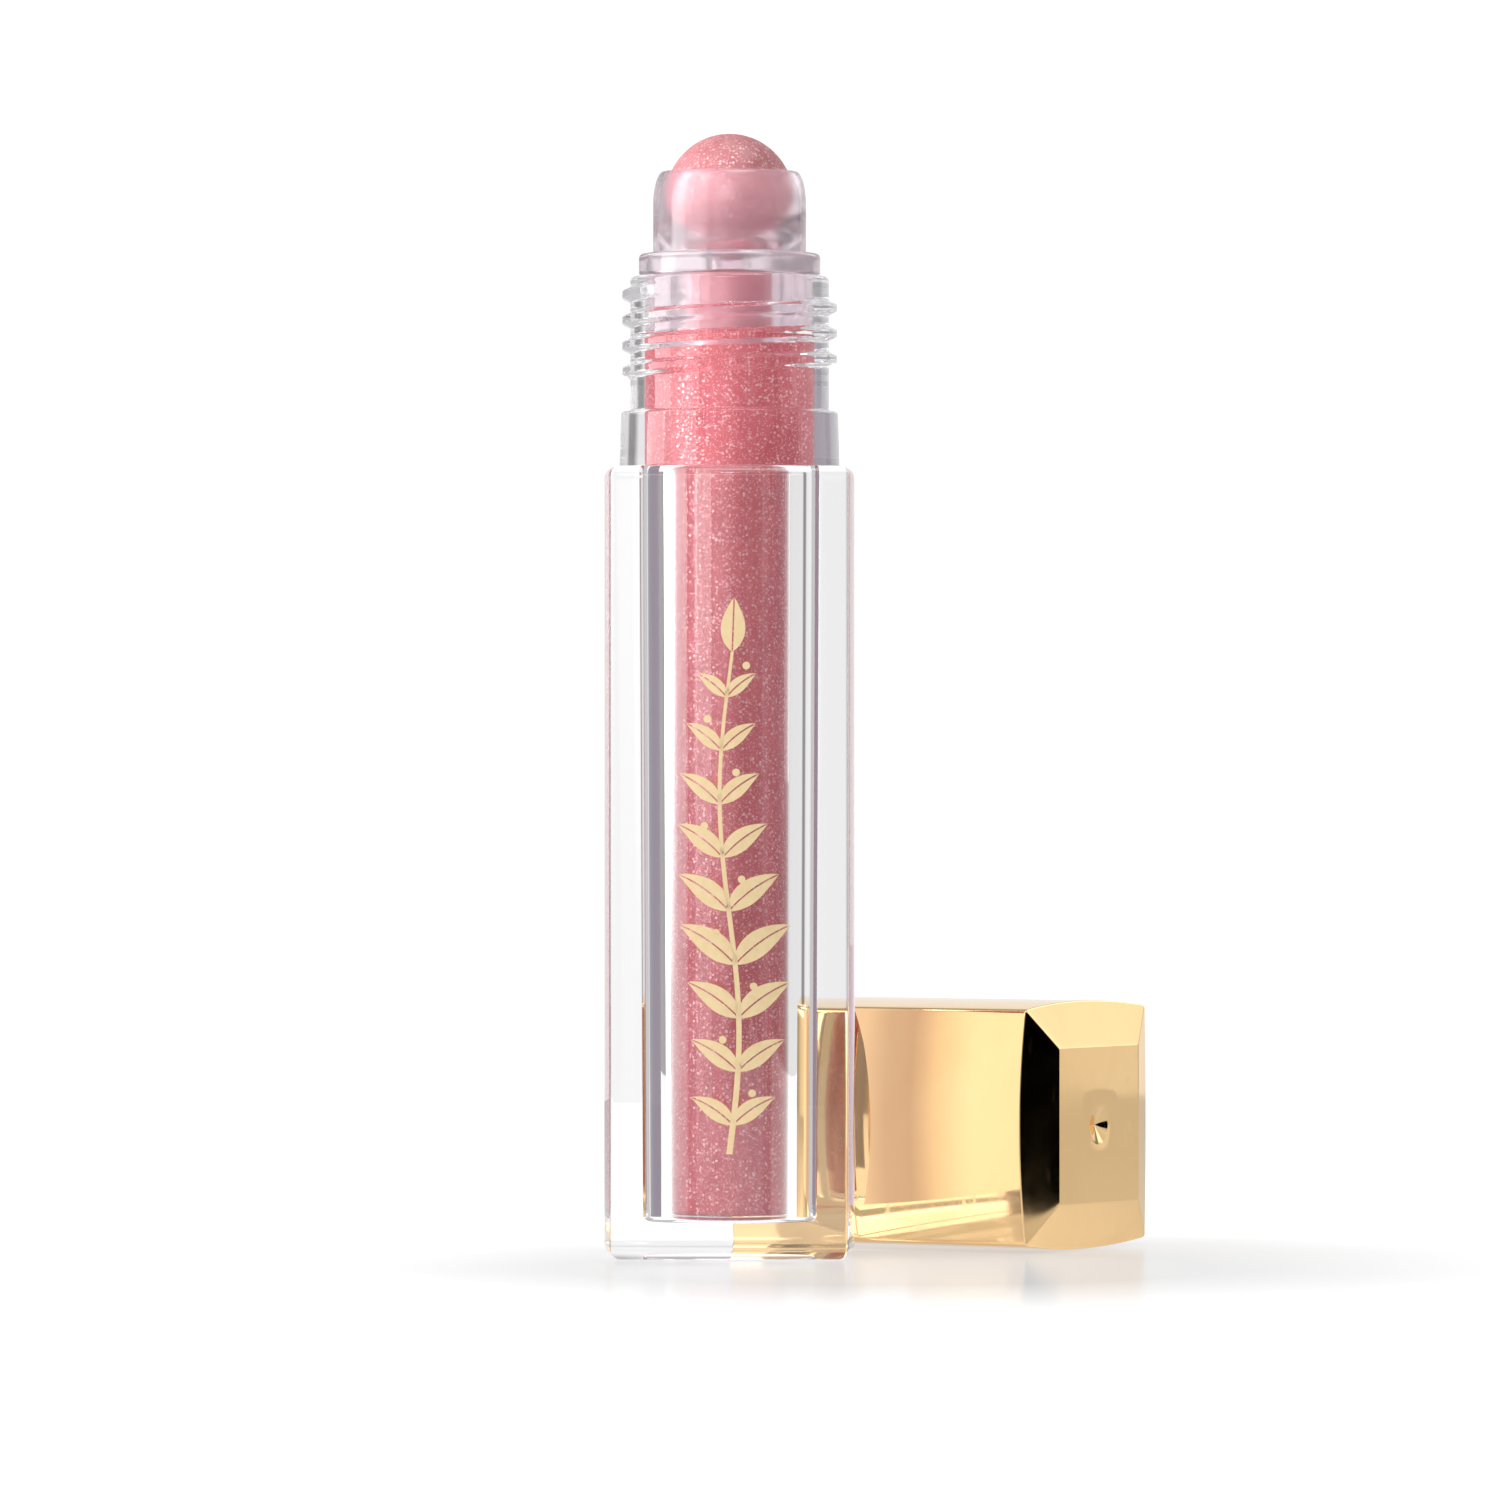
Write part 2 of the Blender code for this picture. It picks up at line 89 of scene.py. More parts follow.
def length_field(name, description, default):
    """A length that a user may change. Its default is given in millimetres."""
    return bpy.props.FloatProperty(name=name, description=description, default=default * MM, min=0.0,
                                   unit='LENGTH', precision=5)


def colour_field(name, description, default):
    return bpy.props.FloatVectorProperty(name=name, description=description, default=default,
                                         min=0.0, max=1.0, subtype='COLOR', size=3)


class GlossTubeSizes(bpy.types.PropertyGroup):
    """Sizes of the tube's pieces"""
    bow: length_field("Side bow", "How far the middle of a side stands out past its corners", 0.55)
    corner: length_field("Corner radius", "Radius along the upright corners", 0.45)
    bore_top: length_field("Bore at the top", "Radius of the sleeve's bore at its mouth", 6.785)
    bore_base: length_field("Bore at the floor", "Radius of the sleeve's bore at its floor", 6.525)
    air: length_field("Air gap", "Air between the vial and the sleeve", 0.10)
    vial_bore: length_field("Vial bore", "Radius of the gloss inside the vial", 4.375)
    pitch: length_field("Thread pitch", "Rise of the neck thread in one turn", 2.0)
    cap_wall: length_field("Cap wall", "Thickness of the gold shell", 0.75)


class GlossTubeColours(bpy.types.PropertyGroup):
    """Colours of the tube's finishes"""
    gloss: colour_field("Gloss", "Body colour of the gloss", (0.62, 0.122, 0.15))
    gold: colour_field("Gold", "Colour of the plated cap", (0.97, 0.67, 0.34))
    foil: colour_field("Foil", "Colour of the foil sprig", (1.0, 0.78, 0.46))
    housing: colour_field("Housing", "Colour of the milky roller housing", (0.97, 0.86, 0.91))
    floor: colour_field("Floor", "Colour of the studio floor", (0.30, 0.30, 0.30))


# ------------------------------------------------------------------ mesh helpers

def section(inset, bow, corner, half=None):
    """The bowed square pulled in by inset, starting on a diagonal and going anticlockwise."""
    half = HALF if half is None else half
    chord = half - bow
    big = (chord ** 2 + bow ** 2) / (2 * bow)
    back = big - half
    big -= inset
    small = max(corner - inset, 0.05 * MM)
    reach = big - small
    at = (-back + math.sqrt(2 * reach ** 2 - back ** 2)) / 2
    turn = math.atan2(at, at + back)
    quarter = []
    for i in range(CORNER_STEPS // 2, CORNER_STEPS + 1):
        a = -(math.pi / 2 - turn) + (math.pi / 2 - 2 * turn) * i / CORNER_STEPS
        quarter.append((at + small * math.cos(a), -at + small * math.sin(a)))
    for i in range(1, SIDE_STEPS):
        a = -turn + 2 * turn * i / SIDE_STEPS
        quarter.append((-back + big * math.cos(a), big * math.sin(a)))
    for i in range(CORNER_STEPS // 2):
        a = turn + (math.pi / 2 - 2 * turn) * i / CORNER_STEPS
        quarter.append((at + small * math.cos(a), at + small * math.sin(a)))
    one = np.array(quarter)
    spins = [np.array(((math.cos(t), math.sin(t)), (-math.sin(t), math.cos(t))))
             for t in (0, math.pi / 2, math.pi, 3 * math.pi / 2)]
    return np.vstack([one @ s for s in spins])


def circle(radius, count):
    a = -math.pi / 4 + 2 * math.pi * np.arange(count) / count
    return np.column_stack((radius * np.cos(a), radius * np.sin(a)))


def pole(z):
    """A ring of one point, on the axis."""
    return np.array(((0.0, 0.0, z),))


def largest(flat):
    """Each point's larger coordinate, without its sign."""
    return np.maximum(np.abs(flat[:, 0]), np.abs(flat[:, 1]))


def spun(radii, angles, z):
    return np.column_stack((radii * np.cos(angles), radii * np.sin(angles), np.full(len(angles), z)))


def at_height(flat, z):
    return np.column_stack((flat, np.full(len(flat), z) if np.isscalar(z) else z))


def arc(cx, cz, r, a0, a1, n):
    """Points on a circle arc in the profile plane, angles in degrees."""
    return [(cx + r * math.cos(math.radians(a0 + (a1 - a0) * i / n)),
             cz + r * math.sin(math.radians(a0 + (a1 - a0) * i / n))) for i in range(n + 1)]


def supported(profile, near=0.035 * MM):
    """Adds a point close to each end of every long run, so that smooth shading stays flat on flats."""
    out = [profile[0]]
    for (r0, z0), (r1, z1) in zip(profile, profile[1:]):
        length = math.hypot(r1 - r0, z1 - z0)
        if length > 5 * near:
            k = near / length
            out.append((r0 + (r1 - r0) * k, z0 + (z1 - z0) * k))
            out.append((r1 - (r1 - r0) * k, z1 - (z1 - z0) * k))
        out.append((r1, z1))
    return out


def loft(name, rings, closed=False, sharp=40.0):
    """A smooth-shaded solid through rings of points. A ring of one point is a pole."""
    points = np.vstack(rings)
    starts = np.cumsum([0] + [len(r) for r in rings])
    pairs = [(k, k + 1) for k in range(len(rings) - 1)]
    if closed:
        pairs.append((len(rings) - 1, 0))
    faces = []
    for a, b in pairs:
        na, nb, sa, sb = len(rings[a]), len(rings[b]), int(starts[a]), int(starts[b])
        n = max(na, nb)
        for i in range(n):
            j = (i + 1) % n
            if na == 1:
                faces.append((sa, sb + i, sb + j))
            elif nb == 1:
                faces.append((sa + i, sa + j, sb))
            else:
                faces.append((sa + i, sa + j, sb + j, sb + i))
    mesh = bpy.data.meshes.new(name)
    mesh.from_pydata(points.tolist(), [], faces)
    mesh.validate()
    obj = bpy.data.objects.new(name, mesh)
    bpy.context.scene.collection.objects.link(obj)
    face_out(mesh)
    mesh.polygons.foreach_set("use_smooth", [True] * len(mesh.polygons))
    mesh.set_sharp_from_angle(angle=math.radians(sharp))
    return obj


def face_out(mesh):
    """Turns the faces outwards where the mesh encloses a negative volume."""
    mesh.calc_loop_triangles()
    tri = np.empty(len(mesh.loop_triangles) * 3, np.int32)
    mesh.loop_triangles.foreach_get("vertices", tri)
    co = np.empty(len(mesh.vertices) * 3, np.float32)
    mesh.vertices.foreach_get("co", co)
    p = co.reshape(-1, 3).astype(np.float64)[tri.reshape(-1, 3)]
    if np.einsum("ij,ij->", p[:, 0], np.cross(p[:, 1], p[:, 2])) < 0:
        mesh.flip_normals()


def turned(name, profile, around=AROUND, sharp=40.0, shape=None):
    """A profile of (radius, height) turned about Z. shape(angles, radius, height) may move the radius."""
    a = -math.pi / 4 + 2 * math.pi * np.arange(around) / around
    rings = []
    for r, z in profile:
        if r < 1e-9:
            rings.append(pole(z))
            continue
        rings.append(spun(r if shape is None else shape(a, r, z), a, z))
    return loft(name, rings, closed=profile[0][0] > 1e-9, sharp=sharp)


def ridge_height(angles, z, top, end_deg, turns, pitch, base, crest, depth, run_out=24.0):
    """Height of a helical ridge over its wall at each angle and one height."""
    start_deg = end_deg - turns * 360.0
    deg = np.degrees(angles) % 360.0
    best = np.zeros_like(deg)
    for k in range(-4, 5):
        d = deg + 360.0 * k
        off = np.abs(z - (top - pitch * (end_deg - d) / 360.0))
        t = np.clip((base / 2 - off) / ((base - crest) / 2), 0.0, 1.0)
        t = 0.35 * t + 0.65 * t * t * (3 - 2 * t)
        fade = np.clip(np.minimum(d - start_deg, end_deg - d) / run_out, 0.0, 1.0)
        fade = fade * fade * (3 - 2 * fade)
        best = np.maximum(best, depth * t * fade)
    return best


# ------------------------------------------------------------------ materials

def new_material(name):
    mat = bpy.data.materials.new(name)
    mat.use_nodes = True
    nodes = mat.node_tree.nodes
    shader = nodes["Principled BSDF"]
    shader.location = (300, 200)
    nodes["Material Output"].location = (900, 200)
    return mat, nodes, mat.node_tree.links, shader


def add(nodes, kind, where=(0, 0), **values):
    node = nodes.new(kind)
    node.location = where
    for key, value in values.items():
        if hasattr(node, key):
            setattr(node, key, value)
        else:
            node.inputs[key.replace("_", " ")].default_value = value
    return node


def put(node, **values):
    """Sets a node's own sockets."""
    for key, value in values.items():
        node.inputs[key.replace("_", " ")].default_value = value


def place_group(nodes, group, where, **values):
    node = add(nodes, "ShaderNodeGroup", where, node_tree=group)
    put(node, **values)
    return node


def new_group(name, inputs, outputs):
    group = bpy.data.node_groups.new(name, "ShaderNodeTree")
    for label, kind, default in inputs:
        socket = group.interface.new_socket(label, in_out='INPUT', socket_type=kind)
        socket.default_value = default
    for label, kind in outputs:
        group.interface.new_socket(label, in_out='OUTPUT', socket_type=kind)
    start = group.nodes.new("NodeGroupInput")
    start.location = (-900, 0)
    end = group.nodes.new("NodeGroupOutput")
    end.location = (900, 0)
    return group, group.nodes, group.links, start, end


def math_node(nodes, links, op, a, b=None, c=None, clamp=False):
    node = nodes.new("ShaderNodeMath")
    node.operation = op
    node.use_clamp = clamp
    for slot, value in zip(node.inputs, (a, b, c)):
        if value is None:
            continue
        if isinstance(value, bpy.types.NodeSocket):
            links.new(value, slot)
        else:
            slot.default_value = value
    return node.outputs[0]


def ramp(nodes, links, fac, stops, where=(0, 0), mode='LINEAR'):
    node = nodes.new("ShaderNodeValToRGB")
    node.location = where
    node.color_ramp.interpolation = mode
    points = node.color_ramp.elements
    while len(points) > 1:
        points.remove(points[-1])
    points[0].position, points[0].color = stops[0][0], (*stops[0][1], 1.0)
    for pos, colour in stops[1:]:
        points.new(pos).color = (*colour, 1.0)
    links.new(fac, node.inputs[0])
    return node.outputs[0]


def mix_colour(nodes, links, factor, a, b, where=(0, 0)):
    """Mixes two colours, each a socket or plain numbers."""
    node = add(nodes, "ShaderNodeMix", where, data_type='RGBA')
    links.new(factor, node.inputs["Factor"])
    for slot, value in ((6, a), (7, b)):
        if isinstance(value, bpy.types.NodeSocket):
            links.new(value, node.inputs[slot])
        else:
            node.inputs[slot].default_value = (*value, 1.0)
    return node.outputs[2]


def mix_shader(nodes, links, factor, a, b, where):
    node = add(nodes, "ShaderNodeMixShader", where)
    for slot, value in zip(node.inputs, (factor, a, b)):
        links.new(value, slot)
    return node.outputs[0]


def object_noise(nodes, links, where, **values):
    """Noise fixed to the object, as a value from 0 to 1."""
    coord = nodes.new("ShaderNodeTexCoord")
    noise = add(nodes, "ShaderNodeTexNoise", where, **values)
    links.new(coord.outputs["Object"], noise.inputs["Vector"])
    return noise.outputs["Fac"]


def shade(colour, *factors):
    return tuple(min(1.0, c * f) for c, f in zip(colour, factors))


def handling_group():
    """Fine handling marks: hairline scratches, a soft smear and a slow ripple in the moulded surface."""
    name = "HandlingMarks"
    if name in bpy.data.node_groups:
        return bpy.data.node_groups[name]
    group, nodes, links, start, end = new_group(
        name,
        [("Roughness", "NodeSocketFloat", 0.03), ("Spread", "NodeSocketFloat", 0.03),
         ("Scratches", "NodeSocketFloat", 0.3), ("Ripple", "NodeSocketFloat", 0.3)],
        [("Roughness", "NodeSocketFloat"), ("Height", "NodeSocketFloat"), ("Smear", "NodeSocketFloat")])
    smear = object_noise(nodes, links, (-500, 300), Scale=140.0, Detail=4.0, Roughness=0.6, Distortion=0.6)
    patch = math_node(nodes, links, 'MULTIPLY_ADD', smear, 2.6, -0.9, clamp=True)
    coord = nodes.new("ShaderNodeTexCoord")
    lines = None
    for turn, size in ((0.5, 900.0), (-0.9, 1300.0), (1.9, 700.0)):
        mapping = add(nodes, "ShaderNodeMapping", (-700, 0))
        put(mapping, Rotation=(turn, turn * 0.7, turn * 1.3), Scale=(1.0, 0.045, 0.3))
        links.new(coord.outputs["Object"], mapping.inputs["Vector"])
        noise = add(nodes, "ShaderNodeTexNoise", (-500, 0), Scale=size, Detail=1.0, Roughness=0.4)
        links.new(mapping.outputs["Vector"], noise.inputs["Vector"])
        line = math_node(nodes, links, 'MULTIPLY_ADD', noise.outputs["Fac"], 16.0, -11.2, clamp=True)
        lines = line if lines is None else math_node(nodes, links, 'MAXIMUM', lines, line)
    scratch = math_node(nodes, links, 'MULTIPLY', lines, start.outputs["Scratches"])
    slow = object_noise(nodes, links, (-500, -300), Scale=90.0, Detail=1.0, Roughness=0.3)
    rough = math_node(nodes, links, 'MULTIPLY_ADD', patch, start.outputs["Spread"],
                      start.outputs["Roughness"])
    rough = math_node(nodes, links, 'MULTIPLY_ADD', scratch, 0.12, rough)
    height = math_node(nodes, links, 'MULTIPLY', slow, start.outputs["Ripple"])
    height = math_node(nodes, links, 'MULTIPLY_ADD', scratch, -0.04, height)
    links.new(rough, end.inputs["Roughness"])
    links.new(height, end.inputs["Height"])
    links.new(patch, end.inputs["Smear"])
    return group


def shimmer_group():
    """Suspended flakes: small coloured specks at two sizes, each with its own tilt."""
    name = "ShimmerFlakes"
    if name in bpy.data.node_groups:
        return bpy.data.node_groups[name]
    group, nodes, links, start, end = new_group(
        name,
        [("Scale", "NodeSocketFloat", 4200.0), ("Amount", "NodeSocketFloat", 0.3)],
        [("Mask", "NodeSocketFloat"), ("Tint", "NodeSocketColor"), ("Height", "NodeSocketFloat")])
    coord = nodes.new("ShaderNodeTexCoord")
    masks, tints, tilts = [], [], []
    for share, shift in ((1.0, 0.0), (0.42, 7.3)):
        size = math_node(nodes, links, 'MULTIPLY', start.outputs["Scale"], share)
        move = add(nodes, "ShaderNodeMapping", (-700, 0))
        put(move, Location=(shift, shift * 2, -shift))
        links.new(coord.outputs["Object"], move.inputs["Vector"])
        cells = add(nodes, "ShaderNodeTexVoronoi", (-500, 0))
        links.new(move.outputs["Vector"], cells.inputs["Vector"])
        links.new(size, cells.inputs["Scale"])
        split = nodes.new("ShaderNodeSeparateColor")
        links.new(cells.outputs["Color"], split.inputs[0])
        chosen = math_node(nodes, links, 'LESS_THAN', split.outputs[0], start.outputs["Amount"])
        near = math_node(nodes, links, 'MULTIPLY_ADD', cells.outputs["Distance"], -6.0, 3.0, clamp=True)
        masks.append(math_node(nodes, links, 'MULTIPLY', chosen, near))
        tints.append(ramp(nodes, links, split.outputs[1], (
            (0.0, (1.0, 0.80, 0.80)), (0.28, (0.86, 0.36, 0.40)), (0.46, (1.0, 0.62, 0.60)),
            (0.64, (0.70, 0.16, 0.20)), (0.80, (1.0, 0.60, 0.48)), (0.90, (1.0, 0.95, 0.95))),
            mode='CONSTANT'))
        tilts.append(math_node(nodes, links, 'MULTIPLY', split.outputs[2], cells.outputs["Distance"]))
    links.new(math_node(nodes, links, 'MAXIMUM', *masks), end.inputs["Mask"])
    links.new(mix_colour(nodes, links, masks[1], *tints), end.inputs["Tint"])
    links.new(math_node(nodes, links, 'ADD', *tilts), end.inputs["Height"])
    return group


def bump_from(nodes, links, height, strength, depth, shader):
    """Wires a height into the shader's normal, as a bump of that depth in metres."""
    bump = add(nodes, "ShaderNodeBump", (50, -200), Strength=strength, Distance=depth)
    links.new(height, bump.inputs["Height"])
    links.new(bump.outputs["Normal"], shader.inputs["Normal"])


def handled(nodes, links, shader, **values):
    """Puts handling marks on a surface: wires in their roughness, and returns the group for the rest."""
    marks = place_group(nodes, handling_group(), (-450, 0), **values)
    links.new(marks.outputs["Roughness"], shader.inputs["Roughness"])
    return marks


def lamp_light_through(nodes, links, shader, tint):
    """Lets a lamp's light pass the shader, tinted. Returns the mixed shader and the light path node."""
    path = add(nodes, "ShaderNodeLightPath", (300, 500))
    through = add(nodes, "ShaderNodeBsdfTransparent", (300, -400), Color=(*tint, 1.0))
    return mix_shader(nodes, links, path.outputs["Is Shadow Ray"], shader.outputs[0], through.outputs[0],
                      (650, 200)), path


def clear_plastic(name, tint, ior, ripple, scratches):
    """Clear moulded plastic that lets lamp light through to what is inside it."""
    mat, nodes, links, shader = new_material(name)
    marks = handled(nodes, links, shader, Roughness=0.0, Spread=0.018, Scratches=scratches, Ripple=ripple)
    bump_from(nodes, links, marks.outputs["Height"], 0.35, 0.02 * MM, shader)
    put(shader, Base_Color=(*tint, 1.0), Transmission_Weight=1.0, IOR=ior)
    clear, path = lamp_light_through(nodes, links, shader, shade(tint, 0.97, 0.97, 0.97))
    # painted light: past three glossy bounces the plastic turns into a flat pale glow, so light reflected many
    # times inside comes back pale and isn't lost
    painted_deep_glow = add(nodes, "ShaderNodeEmission", (650, -100), Color=(0.58, 0.57, 0.58, 1.0))
    deep = math_node(nodes, links, 'SUBTRACT', path.outputs["Glossy Depth"], 3.0, clamp=True)
    deep = math_node(nodes, links, 'SUBTRACT', deep, path.outputs["Is Shadow Ray"], clamp=True)
    last = mix_shader(nodes, links, deep, clear, painted_deep_glow.outputs[0], (900, 200))
    links.new(last, nodes["Material Output"].inputs["Surface"])
    return mat


def gloss_material(name, colour, rough=0.42):
    """Thick pink gloss with drifting darker streaks and fine flakes."""
    mat, nodes, links, shader = new_material(name)
    coord = nodes.new("ShaderNodeTexCoord")
    stretch = add(nodes, "ShaderNodeMapping", (-900, 400))
    put(stretch, Scale=(1.0, 1.0, 0.35))
    links.new(coord.outputs["Object"], stretch.inputs["Vector"])
    drift = add(nodes, "ShaderNodeTexNoise", (-700, 400), Scale=420.0, Detail=5.0, Roughness=0.62,
                Distortion=0.8)
    links.new(stretch.outputs["Vector"], drift.inputs["Vector"])
    body = ramp(nodes, links, drift.outputs["Fac"], (
        (0.30, shade(colour, 0.88, 0.78, 0.80)), (0.50, colour), (0.70, shade(colour, 1.10, 1.35, 1.30))),
        (-450, 400))
    flakes = place_group(nodes, shimmer_group(), (-700, 0), Scale=9500.0, Amount=0.42)
    mask = flakes.outputs["Mask"]
    tint = mix_colour(nodes, links, math_node(nodes, links, 'MULTIPLY', mask, 0.55), body,
                      flakes.outputs["Tint"], (-150, 300))
    links.new(tint, shader.inputs["Base Color"])
    links.new(math_node(nodes, links, 'MULTIPLY_ADD', mask, -0.12, rough), shader.inputs["Roughness"])
    links.new(math_node(nodes, links, 'MULTIPLY_ADD', mask, 0.5, 0.10), shader.inputs["Metallic"])
    bump_from(nodes, links, flakes.outputs["Height"], 0.5, 0.03 * MM, shader)
    put(shader, Subsurface_Weight=0.2, Subsurface_Radius=(1.0, 0.4, 0.4), Subsurface_Scale=1.2 * MM)
    return mat


def milky_material(name, colour):
    """Frosted milky moulding that shows the colour of what is behind it, and lets lamp light through."""
    mat, nodes, links, shader = new_material(name)
    cloud = object_noise(nodes, links, (-700, 400), Scale=260.0, Detail=3.0, Roughness=0.5)
    tone = ramp(nodes, links, cloud, (
        (0.30, shade(colour, 0.96, 0.92, 0.94)), (0.55, colour), (0.75, shade(colour, 1.03, 1.06, 1.05))),
        (-450, 400))
    links.new(tone, shader.inputs["Base Color"])
    marks = handled(nodes, links, shader, Roughness=0.11, Spread=0.06, Scratches=0.12, Ripple=0.5)
    bump_from(nodes, links, marks.outputs["Height"], 0.4, 0.02 * MM, shader)
    put(shader, Subsurface_Weight=1.0, Subsurface_Radius=(1.0, 0.8, 0.85), Subsurface_Scale=1.5 * MM,
        IOR=1.49, Transmission_Weight=0.88)
    milky, _ = lamp_light_through(nodes, links, shader, shade(colour, 0.95, 0.94, 0.94))
    links.new(milky, nodes["Material Output"].inputs["Surface"])
    return mat


def gold_material(name, colour, rough, ripple, scratches):
    """Polished gold plating with smears and hairlines."""
    mat, nodes, links, shader = new_material(name)
    marks = handled(nodes, links, shader, Roughness=rough, Spread=0.07, Scratches=scratches, Ripple=ripple)
    bump_from(nodes, links, marks.outputs["Height"], 0.4, 0.03 * MM, shader)
    tone = ramp(nodes, links, marks.outputs["Smear"], (
        (0.0, colour), (1.0, shade(colour, 0.96, 0.93, 0.90))), (-150, 400))
    links.new(tone, shader.inputs["Base Color"])
    put(shader, Metallic=1.0, Specular_Tint=(1.0, 0.95, 0.85, 1.0))
    return mat


def foil_material(name, colour):
    """Hot-stamped foil: bright, slightly crinkled metal."""
    mat, nodes, links, shader = new_material(name)
    grain = object_noise(nodes, links, (-700, 200), Scale=2600.0, Detail=3.0, Roughness=0.6)
    tone = ramp(nodes, links, grain, (
        (0.30, shade(colour, 0.97, 0.94, 0.90)), (0.55, colour), (0.75, shade(colour, 1.0, 1.04, 1.1))),
        (-450, 300))
    links.new(tone, shader.inputs["Base Color"])
    links.new(math_node(nodes, links, 'MULTIPLY_ADD', grain, 0.20, 0.26), shader.inputs["Roughness"])
    bump_from(nodes, links, grain, 0.12, 0.01 * MM, shader)
    put(shader, Metallic=1.0)
    return mat


def moulded_material(name, colour, rough, soft):
    """Natural moulded plastic or a soft pad, with a fine matte grain."""
    mat, nodes, links, shader = new_material(name)
    grain = object_noise(nodes, links, (-700, 200), Scale=3000.0, Detail=4.0, Roughness=0.6)
    marks = handled(nodes, links, shader, Roughness=rough, Spread=0.12, Scratches=0.4, Ripple=0.5)
    tone = ramp(nodes, links, marks.outputs["Smear"], (
        (0.0, colour), (1.0, shade(colour, 0.93, 0.92, 0.90))), (-150, 400))
    links.new(tone, shader.inputs["Base Color"])
    bump_from(nodes, links, grain, 0.3, 0.02 * MM, shader)
    put(shader, Subsurface_Weight=soft, Subsurface_Scale=1.0 * MM)
    return mat


def finish_piece(obj, mat, body, slot, *nodes):
    obj.data.materials.clear()
    obj.data.materials.append(mat)
    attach(obj, body)
    if nodes:
        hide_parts(*nodes)


# ------------------------------------------------------------------ the tube's pieces

class BuildOuterSleeve(bpy.types.Operator):
    """Builds the clear square sleeve with its round tapered bore"""
    bl_idname = "glosstube.outer_sleeve"
    bl_label = "Outer sleeve"

    def execute(self, context):
        size = context.scene.gloss_tube_sizes
        trim = 0.02 * MM                     # room for the foil inside the sleeve's own width
        base_round, top_round, lip = 1.0 * MM, 0.8 * MM, 0.05 * MM
        outer = supported(arc(-base_round, base_round, base_round, -90, 0, 10)
                          + arc(-top_round, SLEEVE_TOP - top_round, top_round, 0, 90, 9))
        rings = [pole(0.0)]
        flat = section(base_round + trim, size.bow, size.corner)
        rings += [at_height(flat * 0.3, 0.0), at_height(flat * 0.995, 0.0)]
        rings += [at_height(section(trim - r, size.bow, size.corner), z) for r, z in outer]
        mouth = size.bore_top
        last = section(trim + top_round, size.bow, size.corner)
        rings.append(at_height(last * 0.995, SLEEVE_TOP))
        rings += [at_height(circle(mouth + d * MM, ROUND_SQUARE), SLEEVE_TOP) for d in (0.12, 0.08)]
        wall = arc(mouth + lip, SLEEVE_TOP - lip, lip, 90, 180, 4)
        wall += supported([(mouth, SLEEVE_TOP - lip)]
                          + arc(size.bore_base - FILLET, SLEEVE_FLOOR + FILLET, FILLET, 0, -90, 8))[1:]
        wall += [(size.bore_base - FILLET - 0.05 * MM, SLEEVE_FLOOR), (1.5 * MM, SLEEVE_FLOOR)]
        rings += [at_height(circle(r, ROUND_SQUARE), z) for r, z in wall] + [pole(SLEEVE_FLOOR)]
        obj = loft("clear_sleeve", rings)
        mat = clear_plastic("clear acrylic", (0.985, 0.985, 0.99), 1.49, 0.25, 0.35)
        finish_piece(obj, mat, "tube", "clear_acrylic", "outer_sleeve")
        return {'FINISHED'}


class BuildInnerVial(bpy.types.Operator):
    """Builds the clear vial with its collar and threaded neck"""
    bl_idname = "glosstube.inner_vial"
    bl_label = "Inner vial"

    def execute(self, context):
        size = context.scene.gloss_tube_sizes
        z0 = VIAL[0][2]
        collar_z = SLEEVE_TOP + COLLAR_GLUE
        neck_z = collar_z + COLLAR_H
        collar_r, edge, lip, bend, chamfer = 8.62 * MM, 0.25 * MM, 0.35 * MM, 0.12 * MM, 0.05 * MM
        base_r, top_r = size.bore_base - size.air, size.bore_top - size.air
        outer = [(0.0, z0), (2.0 * MM, z0)] + arc(base_r - FILLET, z0 + FILLET, FILLET, -90, 0, 8)
        outer += [(top_r, collar_z)]
        outer += arc(collar_r - 0.1 * MM, collar_z + 0.1 * MM, 0.1 * MM, -90, 0, 4)
        outer += arc(collar_r - 0.12 * MM - edge, neck_z - edge, edge, 0, 90, 6)
        outer += arc(NECK_R + bend, neck_z + bend, bend, 270, 180, 4)
        low, high = neck_z + bend, RIM_Z - lip
        outer = supported(outer)
        rows = 150
        outer += [(NECK_R, low + (high - low) * i / rows) for i in range(1, rows)]
        inside = z0 + VIAL_FLOOR
        outer += supported(arc(NECK_R - lip, RIM_Z - lip, lip, 0, 90, 8)
                           + [(size.vial_bore + chamfer, RIM_Z), (size.vial_bore, RIM_Z - chamfer)]
                           + arc(size.vial_bore - FILLET, inside + FILLET, FILLET, 0, -90, 6)
                           + [(0.0, inside)])
        top = RIM_Z - 1.16 * MM

        def threaded(angles, r, z):
            if abs(r - NECK_R) > 1e-7 or z < low or z > high + 1e-7:
                return np.full(len(angles), r)
            return r + ridge_height(angles, z, top, 232.0, 3.22, size.pitch, 1.25 * MM, 0.5 * MM,
                                    RIDGE_DEPTH, run_out=36.0)

        obj = turned("clear_vial", outer, shape=threaded)
        mat = clear_plastic("clear vial", (0.99, 0.968, 0.985), 1.50, 0.35, 0.25)
        finish_piece(obj, mat, "tube", "clear_vial", "inner_vial")
        return {'FINISHED'}


